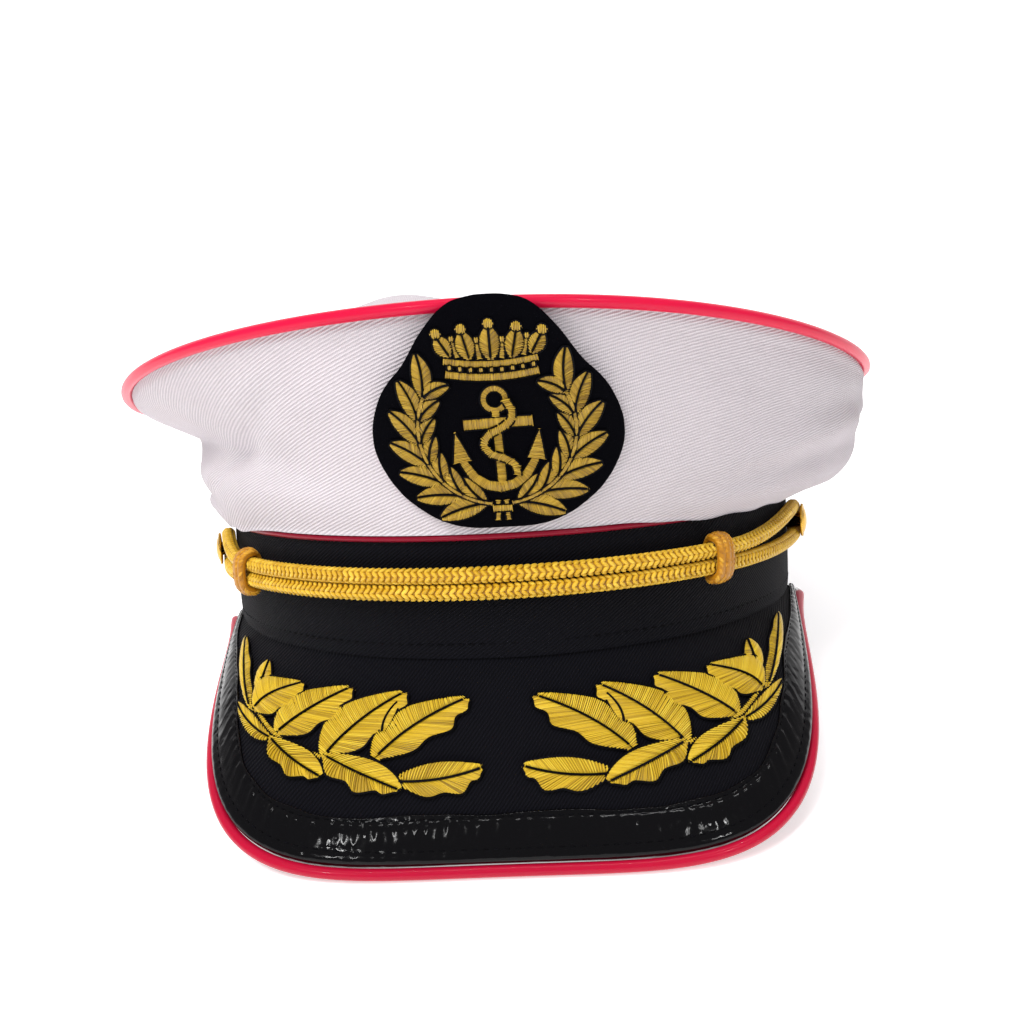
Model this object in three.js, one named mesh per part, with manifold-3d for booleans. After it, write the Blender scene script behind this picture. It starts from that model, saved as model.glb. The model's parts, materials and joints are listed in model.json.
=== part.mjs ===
// Light-up captain's peaked cap. Millimetres, +Z up, the visor towards -Y.
// The cap is drawn in its own frame (band's lower edge in the plane z = 0) and then
// tipped back so that it stands on the visor's front edge and the back of the band.
import * as THREE from 'three';
import Module from 'manifold-3d';

const wasm = await Module();
wasm.setup();
const { Manifold, CrossSection, Mesh: SolidMesh } = wasm;

// ---- driving dimensions -------------------------------------------------------------
const GAP = 0.3;                 // clearance between neighbouring pieces
const BAND_RX = 89;              // half width of the band's outside
const BAND_RY = 102;             // half length of the band's outside
const BAND_TOP = 29.6;           // height of the band cover
const BAND_STEPS = 44;
const COVER_T = 1.3;
const STIFF_T = 1.2;
const WIRE_ROOM = 1.5;           // room between stiffener and sweatband for the leads
const SWEAT_T = 1.0;
const SEAM_Z = 31.1;             // height of the light tube between band and crown
const SEAM_TUBE_R = 1.2;
const RIM_RX_RIGHT = 119;        // crown's half width at the light tube, wearer's right (-X)
const RIM_RX_LEFT = 113.8;
const RIM_RY = 120.9;
const RIM_Y = -1;
const RIM_POWER = 1.95;          // squareness of the crown's outline
const RIM_Z_SIDE = 63.2;
const RIM_RISE_FRONT = 23.1;     // how much the front of the rim stands above its sides
const RIM_TUBE_R = 1.6;
const CLOTH_T = 1.2;
const VISOR_START_Y = -17;
const VISOR_RX = 88.8;
const VISOR_TAPER = 0.074;         // the visor's sides draw in towards the front
const VISOR_LEN = 104.5;
const VISOR_POWER = 4.8;
const VISOR_DROP = 43;
const VISOR_STEPS = 36;
const VISOR_SKIN_T = 0.6;
const VISOR_BOARD_T = 1.6;
const BINDING_W = 9.5;
const VISOR_TUBE_R = 1.5;
const CORD_R = 2.0;
const CORD_OFF = 3.6;            // cord centre line above the band's face
const CORD_Z = 19.5;
const CORD_LOW = 2.35;           // the same where it is pulled down beside the buttons
const CORD_SPREAD = 2.12;
const KNOT_LEFT = -50;           // places round the band, degrees from the front
const KNOT_RIGHT = 38;
const BUTTON_AT = 72;
const BUTTON_Z = 21.8;
const BUTTON_R = 5;
const LINING_Z = 51;
const CASE = { w: 46, l: 31, h: 10, y: 52, z: 53.4 };
const TILT = -12.3016;            // degrees about X, front raised

const rad = THREE.MathUtils.degToRad;
const V = (x, y, z) => new THREE.Vector3(x, y, z);
const lerp = THREE.MathUtils.lerp;
const smooth = (a, b, x) => THREE.MathUtils.smoothstep(x, a, b);

// ---- materials ----------------------------------------------------------------------
const look = (color, roughness, metalness = 0) =>
  new THREE.MeshStandardMaterial({ color, roughness, metalness });
const WHITE = look('#e1dce1', 0.85);
const BLACK = look('#17171e', 0.85);
const PATENT = look('#0b0b0e', 0.12);
const LIGHT = look('#dc2850', 0.25);
const CORD = look('#d7aa28', 0.45);
const THREAD = look('#deb932', 0.5);
const BRASS = look('#d9a93a', 0.28, 1);
const FELT = look('#101014', 0.95);
const CARD = look('#2c2b2e', 0.8);
const SWEAT = look('#1d1c22', 0.7);
const LINING = look('#d9d6da', 0.75);
const PLASTIC = look('#1b1b1e', 0.4);
const STEEL = look('#b9bcc0', 0.3, 1);
const BOARD = look('#1f6b3a', 0.5);
const CLEAR = look('#e9e4e6', 0.15);
const LEAD = look('#161618', 0.5);

const hat = new THREE.Group();
const tipped = new THREE.Group();
tipped.add(hat);

// ---- solid building -----------------------------------------------------------------
function volumeOf(pos, idx) {
  let v = 0;
  for (let i = 0; i < idx.length; i += 3) {
    const [a, b, c] = [idx[i] * 3, idx[i + 1] * 3, idx[i + 2] * 3];
    v += pos[a] * (pos[b + 1] * pos[c + 2] - pos[b + 2] * pos[c + 1]);
    v -= pos[a + 1] * (pos[b] * pos[c + 2] - pos[b + 2] * pos[c]);
    v += pos[a + 2] * (pos[b] * pos[c + 1] - pos[b + 1] * pos[c]);
  }
  return v / 6;
}

function solid(pos, idx) {
  if (volumeOf(pos, idx) < 0) {
    for (let i = 0; i < idx.length; i += 3) {
      const keep = idx[i];
      idx[i] = idx[i + 1];
      idx[i + 1] = keep;
    }
  }
  const g = new THREE.BufferGeometry();
  g.setAttribute('position', new THREE.Float32BufferAttribute(pos, 3));
  g.setIndex(idx);
  g.computeVertexNormals();
  return g;
}

// Joins equal closed outlines one after another. A ring closes on itself, anything
// else is capped at both ends.
// From the side numbered `turned` on, the quads are split along their other diagonal, so
// that the two faces of a bent sheet, and the sheets laid on it, stay parallel.
function loft(sections, ring, turned = Infinity) {
  const m = sections[0].length;
  const n = sections.length;
  const pos = [];
  const idx = [];
  sections.forEach((s) => s.forEach((p) => pos.push(p.x, p.y, p.z)));
  const last = ring ? n : n - 1;
  for (let i = 0; i < last; i += 1) {
    for (let j = 0; j < m; j += 1) {
      const a = i * m + j;
      const b = i * m + ((j + 1) % m);
      const c = ((i + 1) % n) * m + j;
      const d = ((i + 1) % n) * m + ((j + 1) % m);
      idx.push(...(j > turned ? [a, b, c, b, d, c] : [a, b, d, a, d, c]));
    }
  }
  if (!ring) {
    [0, n - 1].forEach((i, side) => {
      for (let j = 0; j < m / 2 - 1; j += 1) {
        const [a, b] = [i * m + j, i * m + j + 1];
        const [c, d] = [i * m + m - 1 - j, i * m + m - 2 - j];
        const quad = j + 1 === m - 2 - j ? [a, b, c] : [a, b, d, a, d, c];
        if (!side) quad.reverse();
        idx.push(...quad);
      }
    });
  }
  return solid(pos, idx);
}

// A sheet bent over a surface: at(i, j) gives the outer and inner points of a grid.
function sheet(nu, nv, at) {
  const rows = [];
  for (let i = 0; i <= nu; i += 1) {
    const top = [];
    const under = [];
    for (let j = 0; j <= nv; j += 1) {
      const [a, b] = at(i / nu, j / nv);
      top.push(a);
      under.unshift(b);
    }
    rows.push([...top, ...under]);
  }
  return loft(rows, false, nv);
}

function toManifold(g) {
  const pos = g.getAttribute('position').array;
  const tri = g.getIndex().array;
  const m = new SolidMesh({
    numProp: 3,
    vertProperties: Float32Array.from(pos),
    triVerts: Uint32Array.from(tri),
  });
  m.merge();
  return new Manifold(m);
}

function fromManifold(m) {
  const out = m.getMesh();
  const pos = Array.from(out.vertProperties);
  return solid(pos, Array.from(out.triVerts));
}

// Leaves that only graze each other leave specks behind, so the largest piece is kept.
function union(list) {
  const biggest = (m) => m.decompose().sort((a, b) => b.volume() - a.volume())[0];
  const whole = biggest(Manifold.union(list.map(toManifold)));
  return fromManifold(biggest(whole.setTolerance(0.12).simplify(0.12)));
}
const cut = (a, b) => fromManifold(toManifold(a).subtract(toManifold(b)));

function add(name, geometry, material, placed = (g) => g) {
  const mesh = new THREE.Mesh(placed(geometry), material);
  mesh.name = name;
  hat.add(mesh);
  return mesh;
}

function box(w, l, h, x, y, z) {
  const g = new THREE.BoxGeometry(w, l, h);
  g.translate(x, y, z);
  return g;
}

// A round bar along points; ring = true closes it on itself.
function bar(points, r, sides, ring, upAt = () => V(0, 0, 1)) {
  const n = points.length;
  const sections = points.map((p, i) => {
    const before = ring ? points[(i + n - 1) % n] : points[Math.max(i - 1, 0)];
    const after = ring ? points[(i + 1) % n] : points[Math.min(i + 1, n - 1)];
    const t = after.clone().sub(before).normalize();
    const a = t.clone().cross(upAt(p)).normalize();
    const b = t.clone().cross(a).normalize();
    const s = [];
    for (let k = 0; k < sides; k += 1) {
      const w = (k + 0.5) / sides * Math.PI * 2;
      s.push(p.clone().addScaledVector(a, r * Math.cos(w)).addScaledVector(b, r * Math.sin(w)));
    }
    return s;
  });
  return loft(sections, ring);
}

// ---- the band's oval ----------------------------------------------------------------
// t is measured from the front, positive to +X; off moves out from the band's face.
function oval(t, off, z) {
  const s = Math.sin(t);
  const c = Math.cos(t);
  const n = V(s * BAND_RY, -c * BAND_RX, 0).normalize();
  return V(BAND_RX * s + n.x * off, -BAND_RY * c + n.y * off, z);
}

function ovalRing(profile, steps) {
  const rows = [];
  for (let i = 0; i < steps; i += 1) {
    const t = (i / steps) * Math.PI * 2;
    rows.push(profile.map(([off, z]) => oval(t, off, z)));
  }
  return loft(rows, true);
}

const hoop = (outer, inner, low, high) => [[outer, low], [outer, high], [inner, high], [inner, low]];

const stiffOut = -COVER_T - GAP;
const sweatOut = stiffOut - STIFF_T - WIRE_ROOM;
const sweatIn = sweatOut - SWEAT_T;
add('band_cover', ovalRing(hoop(0, -COVER_T, 0, BAND_TOP), BAND_STEPS), BLACK);
add('band_stiffener', ovalRing(hoop(stiffOut, stiffOut - STIFF_T, 1.5, 28.6), BAND_STEPS), CARD);
add('sweatband', ovalRing(hoop(sweatOut, sweatIn, 0, 28.6), BAND_STEPS), SWEAT);

// ---- the crown's rim ----------------------------------------------------------------
function rimPoint(t, inward, up) {
  const s = Math.sin(t);
  const c = Math.cos(t);
  const r = (Math.abs(s) ** RIM_POWER + Math.abs(c) ** RIM_POWER) ** (-1 / RIM_POWER);
  const front = ((c + Math.sqrt(c * c + 0.03)) / 2) ** (s < 0 ? 1.04 : 1.34);
  const half = s < 0 ? RIM_RX_RIGHT : RIM_RX_LEFT;
  const p = V(half * r * s, RIM_Y - RIM_RY * r * c, RIM_Z_SIDE + RIM_RISE_FRONT * front + up);
  const d = V(p.x, p.y - RIM_Y, 0).normalize();
  return p.addScaledVector(d, -inward);
}

// How far out the side wall has come at each of six heights, for the front, the two
// sides and the back of the crown. On the wearer's right (-X) the cloth is sucked in
// above a small roll, and on the left it bulges out over the band.
const FLARE = {
  front: [0, 0.17, 0.36, 0.57, 0.79, 1],
  left: [0, 0.284, 0.21, 0.29, 0.67, 1],
  right: [0, 0.82, 0.94, 1.04, 1.07, 1],
  back: [0, 0.3, 0.55, 0.76, 0.9, 1],
};

function flare(t, v) {
  const s = Math.sin(t);
  const c = Math.cos(t);
  const k = Math.min(Math.floor(v * 5), 4);
  const f = v * 5 - k;
  const at = (row) => lerp(row[k], row[k + 1], f);
  const side = at(s < 0 ? FLARE.left : FLARE.right);
  return side * s * s + at(c > 0 ? FLARE.front : FLARE.back) * c * c;
}

const WALL_LOW = SEAM_Z + SEAM_TUBE_R + 0.35;

function wallPoint(t, v, off) {
  const low = oval(t, -0.4, WALL_LOW);
  const high = rimPoint(t, RIM_TUBE_R + 0.5, -0.75);
  const w = flare(t, v);
  const p = V(lerp(low.x, high.x, w), lerp(low.y, high.y, w), lerp(low.z, high.z, v));
  const out = V(p.x, p.y, 0).normalize();
  return p.addScaledVector(out, off);
}

function sidePanel(from, to, steps) {
  return sheet(steps, 6, (a, b) => {
    const t = rad(lerp(from, to, a));
    return [wallPoint(t, b, 0), wallPoint(t, b, -CLOTH_T)];
  });
}

add('crown_side_front', sidePanel(-89.9, 89.9, 30), WHITE);
add('crown_side_back', sidePanel(90.1, 269.9, 24), WHITE);

// Top panel: a stretched sheet, a little fuller just behind the raised front.
function topHeight(t, k) {
  const edge = rimPoint(t, 0, 0.75).z;
  const mid = 73;
  const dome = 3.5 * (1 - k ** 4);
  return lerp(mid, edge, k ** 1.6) + dome;
}

function topPanel() {
  const steps = 40;
  const rings = [1, 0.93, 0.8, 0.6, 0.36];
  const pos = [];
  const idx = [];
  const rows = [];
  const push = (p) => pos.push(p.x, p.y, p.z) / 3 - 1;
  const ringAt = (k, drop) => {
    const row = [];
    for (let i = 0; i < steps; i += 1) {
      const t = (i / steps) * Math.PI * 2;
      const e = rimPoint(t, RIM_TUBE_R + 0.5, 0);
      row.push(push(V(e.x * k, RIM_Y + (e.y - RIM_Y) * k, topHeight(t, k) - drop)));
    }
    return row;
  };
  rings.forEach((k) => rows.push(ringAt(k, 0)));
  const top = push(V(0, RIM_Y, 76.5));
  const under = rings.map((k) => ringAt(k, -CLOTH_T));
  const low = push(V(0, RIM_Y, 76.5 + CLOTH_T));
  const wall = (a, b) => {
    for (let i = 0; i < steps; i += 1) {
      const j = (i + 1) % steps;
      idx.push(a[i], a[j], b[j], a[i], b[j], b[i]);
    }
  };
  const fan = (a, c, flip) => {
    for (let i = 0; i < steps; i += 1) {
      const j = (i + 1) % steps;
      idx.push(...(flip ? [a[j], a[i], c] : [a[i], a[j], c]));
    }
  };
  for (let i = 0; i + 1 < rings.length; i += 1) wall(rows[i], rows[i + 1]);
  fan(rows[rings.length - 1], top, false);
  wall(under[0], rows[0]);
  for (let i = 0; i + 1 < rings.length; i += 1) wall(under[i + 1], under[i]);
  fan(under[rings.length - 1], low, true);
  return solid(pos, idx);
}

add('crown_top', topPanel(), WHITE);

// Light tubes are moulded with a thin tail that is sewn into the seam.
function keyhole(centre, out, up, r, tail) {
  const p = [];
  const sides = 7;
  for (let k = 0; k < sides; k += 1) {
    const w = (-150 + (300 * k) / (sides - 1)) * (Math.PI / 180);
    p.push(centre.clone().addScaledVector(out, r * Math.cos(w)).addScaledVector(up, r * Math.sin(w)));
  }
  const h = 0.3;
  p.push(centre.clone().addScaledVector(out, -tail).addScaledVector(up, h));
  p.push(centre.clone().addScaledVector(out, -tail).addScaledVector(up, -h));
  return p;
}

function tubeRing(steps, r, tail, at) {
  const rows = [];
  for (let i = 0; i < steps; i += 1) {
    const t = (i / steps) * Math.PI * 2;
    const a = at(t);
    const out = V(a.x, a.y - RIM_Y, 0).normalize();
    rows.push(keyhole(a, out, V(0, 0, 1), r, tail));
  }
  return loft(rows, true);
}

add('crown_light_tube', tubeRing(56, RIM_TUBE_R, 5, (t) => rimPoint(t, 0, 0)), LIGHT);
add('band_light_tube', tubeRing(44, SEAM_TUBE_R, 2.5, (t) => oval(t, -0.1, SEAM_Z)), LIGHT);

// ---- visor --------------------------------------------------------------------------
const VISOR_END = Math.acos(-VISOR_START_Y / BAND_RY);

function visorEdge(u) {
  const s = Math.sin((u * Math.PI) / 2);
  const c = Math.cos((u * Math.PI) / 2);
  const r = (Math.abs(s) ** VISOR_POWER + Math.abs(c) ** VISOR_POWER) ** (-1 / VISOR_POWER);
  const y = VISOR_START_Y - 1 - VISOR_LEN * r * c;
  const k = (VISOR_START_Y - 1 - y) / VISOR_LEN;
  const drop = VISOR_DROP * k ** 1.45;
  const x = VISOR_RX * (1 - VISOR_TAPER * k) * r * s * lerp(0.965, 1, u ** 4);
  return V(x, y, -drop - 1.2);
}

function visorPoint(u, v) {
  const a = oval(u * VISOR_END, -1.2, -0.5);
  const b = visorEdge(u);
  const bow = 4 * v * (1 - v) * 2.2 * (1 - u * u);
  return a.lerp(b, v).add(V(0, 0, bow));
}

// One direction for each line from band to edge keeps the visor's layers parallel.
function visorNormal(u) {
  const e = 0.01;
  const du = visorPoint(Math.min(u + e, 1), 0.7).sub(visorPoint(Math.max(u - e, -1), 0.7));
  const dv = visorPoint(u, 1).sub(visorPoint(u, 0));
  const n = du.cross(dv).normalize();
  return n.z < 0 ? n.negate() : n;
}

const visorAt = (u, v, off) => visorPoint(u, v).addScaledVector(visorNormal(u), off);

// Even spacing along the edge needs smaller steps of u near the two corners.
function visorU(k) {
  const w = k * 2 - 1;
  return w * (0.72 + 0.28 * w * w) * 0.995;
}

function visorLayer(top, thick, rows) {
  return sheet(VISOR_STEPS, rows, (a, b) => {
    const u = visorU(a);
    return [visorAt(u, b, top), visorAt(u, b, top - thick)];
  });
}

const boardTop = -VISOR_SKIN_T - GAP;
const liningTop = boardTop - VISOR_BOARD_T - GAP;
add('visor_cover', visorLayer(0, VISOR_SKIN_T, 5), BLACK);
add('visor_board', visorLayer(boardTop, VISOR_BOARD_T, 3), CARD);
add('visor_lining', visorLayer(liningTop, VISOR_SKIN_T, 3), BLACK);

function edgeFrame(u) {
  const p = visorPoint(u, 1);
  const n = visorNormal(u);
  const e = 0.01;
  const t = visorEdge(Math.min(u + e, 1)).sub(visorEdge(Math.max(u - e, -1))).normalize();
  const o = t.clone().cross(n).normalize();
  const inward = visorPoint(u, 0.5).sub(p);
  if (o.dot(inward) > 0) o.negate();
  return { p, n, o, t, deep: visorPoint(u, 0).distanceTo(p), square: Math.abs(inward.normalize().dot(o)) };
}

const underside = liningTop - VISOR_SKIN_T;

function bindingSection(u) {
  const f = edgeFrame(u);
  const reach = Math.min(BINDING_W / (f.deep * Math.max(f.square, 0.35)), 0.5);
  const leg = (k, off) => visorAt(u, 1 - reach * k, off);
  const nose = (o, n) => f.p.clone().addScaledVector(f.o, o).addScaledVector(f.n, n);
  return [
    leg(1, GAP + 0.55),
    leg(0.5, GAP + 0.55),
    nose(0.1, GAP + 0.55),
    nose(0.9, -0.4),
    nose(0.9, underside + 0.4),
    nose(0.1, underside - GAP - 0.55),
    leg(0.5, underside - GAP - 0.55),
    leg(1, underside - GAP - 0.55),
    leg(1, underside - GAP),
    leg(0.5, underside - GAP),
    nose(0.05, underside - GAP),
    nose(0.45, underside + 0.4),
    nose(0.45, -0.4),
    nose(0.05, GAP),
    leg(0.5, GAP + 0.1),
    leg(1, GAP + 0.1),
  ];
}

const edgeSteps = [];
for (let i = 0; i <= VISOR_STEPS; i += 1) edgeSteps.push(visorU(i / VISOR_STEPS));
add('visor_binding', loft(edgeSteps.map(bindingSection), false), PATENT);

const visorTubeLine = edgeSteps.map((u) => {
  const f = edgeFrame(u);
  return f.p.clone().addScaledVector(f.o, 0.9 + GAP + VISOR_TUBE_R)
    .addScaledVector(f.n, underside / 2);
});
add('visor_light_tube', bar(visorTubeLine, VISOR_TUBE_R, 8, false), LIGHT);

// ---- embroidery ---------------------------------------------------------------------
// A leaf laid on a surface: place(x, y, off) turns flat millimetres into a point.
// Each leaf is stitched at a slightly different height, so that none lies flush.
let layer = 0;
function leaf(place, base, tip, width, bend, under, over, steps = 6) {
  const rows = [];
  layer = (layer + 1) % 7;
  const low = under - 0.02 * layer;
  const high = over + 0.05 * layer;
  const dx = tip[0] - base[0];
  const dy = tip[1] - base[1];
  const len = Math.hypot(dx, dy);
  const nx = -dy / len;
  const ny = dx / len;
  for (let i = 0; i <= steps; i += 1) {
    const k = i / steps;
    const half = Math.max(0.35, (width / 2) * Math.sin(Math.PI * (0.08 + 0.86 * k)) ** 0.8);
    const sag = bend * 4 * k * (1 - k);
    const at = (side, off) => place(
      base[0] + dx * k + nx * (sag + side * half),
      base[1] + dy * k + ny * (sag + side * half),
      off,
    );
    rows.push([at(-1, low), at(0, low), at(1, low), at(1, high * 0.6), at(0, high), at(-1, high * 0.6)]);
  }
  return loft(rows, false);
}

// Visor sprays. x runs across the visor as hundredths of its half width, y down it as
// hundredths of its depth; every leaf is base, tip, width (mm), bend (mm).
const SPRAY = [
  [[21, 66], [4, 60], 9, -1.5],
  [[25, 55], [7, 24], 10, 1.5],
  [[35, 56], [20, 21], 10, 1.5],
  [[46, 52], [32, 20], 9.5, 1.5],
  [[54, 50], [44, 22], 9, 2],
  [[53, 50], [71, 21], 7, 2],
  [[55, 44], [57, 18], 5, 0],
  [[47, 56], [60, 60], 6, 0],
  [[47, 56], [35, 66], 8, 0],
  [[35, 56], [20, 70], 8, 0],
];
const DEPTH_MM = 62;

function sprayBody(side) {
  const place = (x, y, off) => {
    const v = y / DEPTH_MM;
    const u = side * (x / 90);
    return visorAt(u, v, off);
  };
  const bodies = SPRAY.map(([b, t, w, bend]) => leaf(
    place,
    [b[0] * 0.9, (b[1] * DEPTH_MM) / 100],
    [t[0] * 0.9, (t[1] * DEPTH_MM) / 100],
    w,
    bend,
    0.35,
    1.3,
    4,
  ));
  const stem = [[20, 65], [33, 58], [45, 54], [55, 48]].map(([x, y]) => [x * 0.9, (y * DEPTH_MM) / 100]);
  for (let i = 0; i + 1 < stem.length; i += 1) {
    bodies.push(leaf(place, stem[i], stem[i + 1], 3.6, 0, 0.3, 1.2, 3));
  }
  return union(bodies);
}

add('visor_embroidery_left', sprayBody(-1), THREAD);
add('visor_embroidery_right', sprayBody(1), THREAD);

// ---- badge --------------------------------------------------------------------------
const BADGE_X = 3.2;
const BADGE_UP = 29.8;
const WALL_RISE = 57;

function frontPlace(x, up, off) {
  let t = Math.asin((x + BADGE_X) / 104);
  const v = up / WALL_RISE;
  for (let k = 0; k < 6; k += 1) {
    const p = wallPoint(t, v, 0);
    t += (x + BADGE_X - p.x) / 112;
  }
  const clear = 0.4 + 5 * smooth(14, 54, up);
  return wallPoint(t, Math.min(v, 1), 0)
    .add(V(0, 0, Math.max(v - 1, 0) * WALL_RISE))
    .add(V(0, -(clear + off), (clear + off) * 0.25));
}

const badgePlace = (x, y, off) => frontPlace(x, y + BADGE_UP, off);

// Half width of the patch at each height from its middle.
const BADGE_SHAPE = [
  [28.3, 4], [27, 9], [23.5, 13], [19.5, 16.5], [15, 19.5], [10, 24.5], [3, 29],
  [-3, 30.5], [-10, 29.5], [-19.5, 24], [-25.5, 16.5], [-28.3, 8],
];
const BADGE_EDGE = [
  ...BADGE_SHAPE.map(([y, x]) => [-x, y]),
  ...BADGE_SHAPE.slice().reverse().map(([y, x]) => [x, y]),
];

function badgePatch() {
  const steps = BADGE_EDGE.length;
  const rings = [1, 0.84, 0.67, 0.5, 0.3];
  const pos = [];
  const idx = [];
  const push = (p) => pos.push(p.x, p.y, p.z) / 3 - 1;
  const ringAt = (k, off) => {
    const row = [];
    for (let i = 0; i < steps; i += 1) {
      const [x, y] = BADGE_EDGE[i];
      row.push(push(badgePlace(x * k, y * k, off)));
    }
    return row;
  };
  const up = rings.map((k) => ringAt(k, 1.3));
  const top = push(badgePlace(0, 0, 1.3));
  const down = rings.map((k) => ringAt(k, 0));
  const low = push(badgePlace(0, 0, 0));
  const wall = (a, b) => {
    for (let i = 0; i < steps; i += 1) {
      const j = (i + 1) % steps;
      idx.push(a[i], a[j], b[j], a[i], b[j], b[i]);
    }
  };
  const n = rings.length - 1;
  wall(down[0], up[0]);
  for (let i = 0; i < n; i += 1) {
    wall(up[i], up[i + 1]);
    wall(down[i + 1], down[i]);
  }
  for (let i = 0; i < steps; i += 1) {
    const j = (i + 1) % steps;
    idx.push(up[n][i], up[n][j], top, down[n][j], down[n][i], low);
  }
  return solid(pos, idx);
}

add('badge_patch', badgePatch(), FELT);

const B_LOW = 1.75;
const B_HIGH = 2.6;

// A branch of the wreath: a curved strip whose two edges are toothed like its leaves.
function wreath(side) {
  const teeth = 7;
  const rows = [];
  for (let i = 0; i <= teeth * 3; i += 1) {
    const k = i / (teeth * 3);
    const a = rad(lerp(-78, 28, k));
    const tooth = [0.25, 0.8, 1][i % 3] * lerp(1, 0.75, k);
    const at = (r, off) => badgePlace(side * r * Math.cos(a), -3 + (r + 1) * Math.sin(a), off);
    const [inner, mid, outer] = [18.6 - 4.6 * tooth, 19, 20.2 + 6.2 * tooth];
    rows.push([
      at(inner, B_LOW), at(mid, B_LOW), at(outer, B_LOW),
      at(outer, B_HIGH - 0.3), at(mid, B_HIGH), at(inner, B_HIGH - 0.3),
    ]);
  }
  return loft(rows, false);
}

add('badge_wreath_left', wreath(-1), THREAD);
add('badge_wreath_right', wreath(1), THREAD);
add('badge_wreath_tie', leaf(badgePlace, [0, -26.6], [0, -20.6], 4.2, 0, B_LOW, B_HIGH, 3), THREAD);

// Strokes drawn flat, joined, given their height and laid on the badge.
function strokes(points, width) {
  const list = [];
  points.forEach(([x, y], i) => {
    list.push(CrossSection.circle(width / 2, 8).translate([x, y]));
    if (i === 0) return;
    const [px, py] = points[i - 1];
    const len = Math.hypot(x - px, y - py);
    const bar2 = CrossSection.square([len, width], true);
    const turn = (Math.atan2(y - py, x - px) * 180) / Math.PI;
    list.push(bar2.rotate(turn).translate([(x + px) / 2, (y + py) / 2]));
  });
  return list;
}

function laidOnBadge(list) {
  const mesh = CrossSection.union(list).simplify(0.05).extrude(1).getMesh();
  const v = mesh.vertProperties;
  const pos = [];
  for (let i = 0; i < v.length; i += 3) {
    const p = badgePlace(v[i], v[i + 1], lerp(B_LOW, B_HIGH, v[i + 2]));
    pos.push(p.x, p.y, p.z);
  }
  return solid(pos, Array.from(mesh.triVerts));
}

function anchor() {
  const arm = (side) => [[0, -17.4], [side * 5, -15.4], [side * 8.6, -11.2], [side * 9.8, -6.4]];
  const ring = CrossSection.circle(3.4, 16).subtract(CrossSection.circle(1.9, 16)).translate([0, 4]);
  return laidOnBadge([
    ring,
    ...strokes([[0, 1.2], [0, -17.6]], 2.4),
    ...strokes([[-7.4, -1.4], [7.4, -1.8]], 2.2),
    ...strokes(arm(-1), 2.4),
    ...strokes(arm(1), 2.4),
  ]);
}

add('badge_anchor', anchor(), THREAD);

const ROPE = [[3.2, 2.6], [3.8, -0.4], [0.6, -3.2], [-3.6, -6], [-2.6, -9.4], [1.8, -11.4], [4, -14]];
const ropeLine = ROPE.map(([x, y]) => badgePlace(x, y, B_HIGH + 0.5 + 0.75));
add('badge_rope', bar(ropeLine, 0.75, 6, false, () => V(0, 1, 0)), THREAD);

// Five points on a curved head-band.
function coronet() {
  const rows = [];
  for (let i = 0; i <= 20; i += 1) {
    const k = i / 10 - 1;
    const point = [1, 0.55, 0.12, 0.12, 0.55][i % 5 === 0 ? 0 : i % 5];
    const tall = 10.4 * point * (1 - 0.12 * k * k);
    const at = (y, off) => badgePlace(k * (10.4 + y * 0.14), 8.6 + y + 1.4 * k * k, off);
    rows.push([at(0, B_LOW), at(4.2, B_LOW), at(4.6 + tall, B_LOW),
      at(4.6 + tall, B_HIGH - 0.3), at(4.2, B_HIGH), at(0, B_HIGH - 0.3)]);
  }
  return loft(rows, false);
}

add('badge_coronet', coronet(), THREAD);

// Curved card that keeps the crown's front up, just behind the front panel.
add('front_stay', sheet(12, 4, (a, b) => {
  const t = rad(lerp(-24, 26, a));
  const v = lerp(0.02, 0.94, b);
  return [wallPoint(t, v, -CLOTH_T - GAP - 0.3), wallPoint(t, v, -CLOTH_T - GAP - 1.3)];
}), CARD);

// ---- chin cord, slide knots and side buttons ----------------------------------------
const SCALE_T = 104;             // millimetres of band face per radian near the buttons

function cordLine() {
  const pts = [];
  const end = rad(BUTTON_AT);
  const turn = 2.05 + CORD_R + 0.25;
  const strand = (side, from, to, steps) => {
    for (let i = 0; i < steps; i += 1) {
      const t = lerp(from, to, i / steps);
      const left = smooth(rad(-KNOT_LEFT) + 0.06, end, -t);
      const right = smooth(rad(KNOT_RIGHT) + 0.06, end, t);
      const k = Math.max(left, right);
      const z = lerp(CORD_Z, BUTTON_Z, k) + side * lerp(CORD_SPREAD, turn, k);
      pts.push(oval(t, lerp(CORD_OFF, CORD_LOW, k), z));
    }
  };
  const round = (side) => {
    const steps = 6;
    for (let i = 0; i < steps; i += 1) {
      const w = (i / steps) * Math.PI;
      const along = Math.sin(w) * turn;
      pts.push(oval(side * (end + along / SCALE_T), CORD_LOW, BUTTON_Z + side * turn * Math.cos(w)));
    }
  };
  strand(1, -end, end, 34);
  round(1);
  strand(-1, end, -end, 34);
  round(-1);
  return pts;
}

add('chin_cord', bar(cordLine(), CORD_R, 6, true, (p) => V(p.x, p.y, 0).normalize()), CORD);

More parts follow.
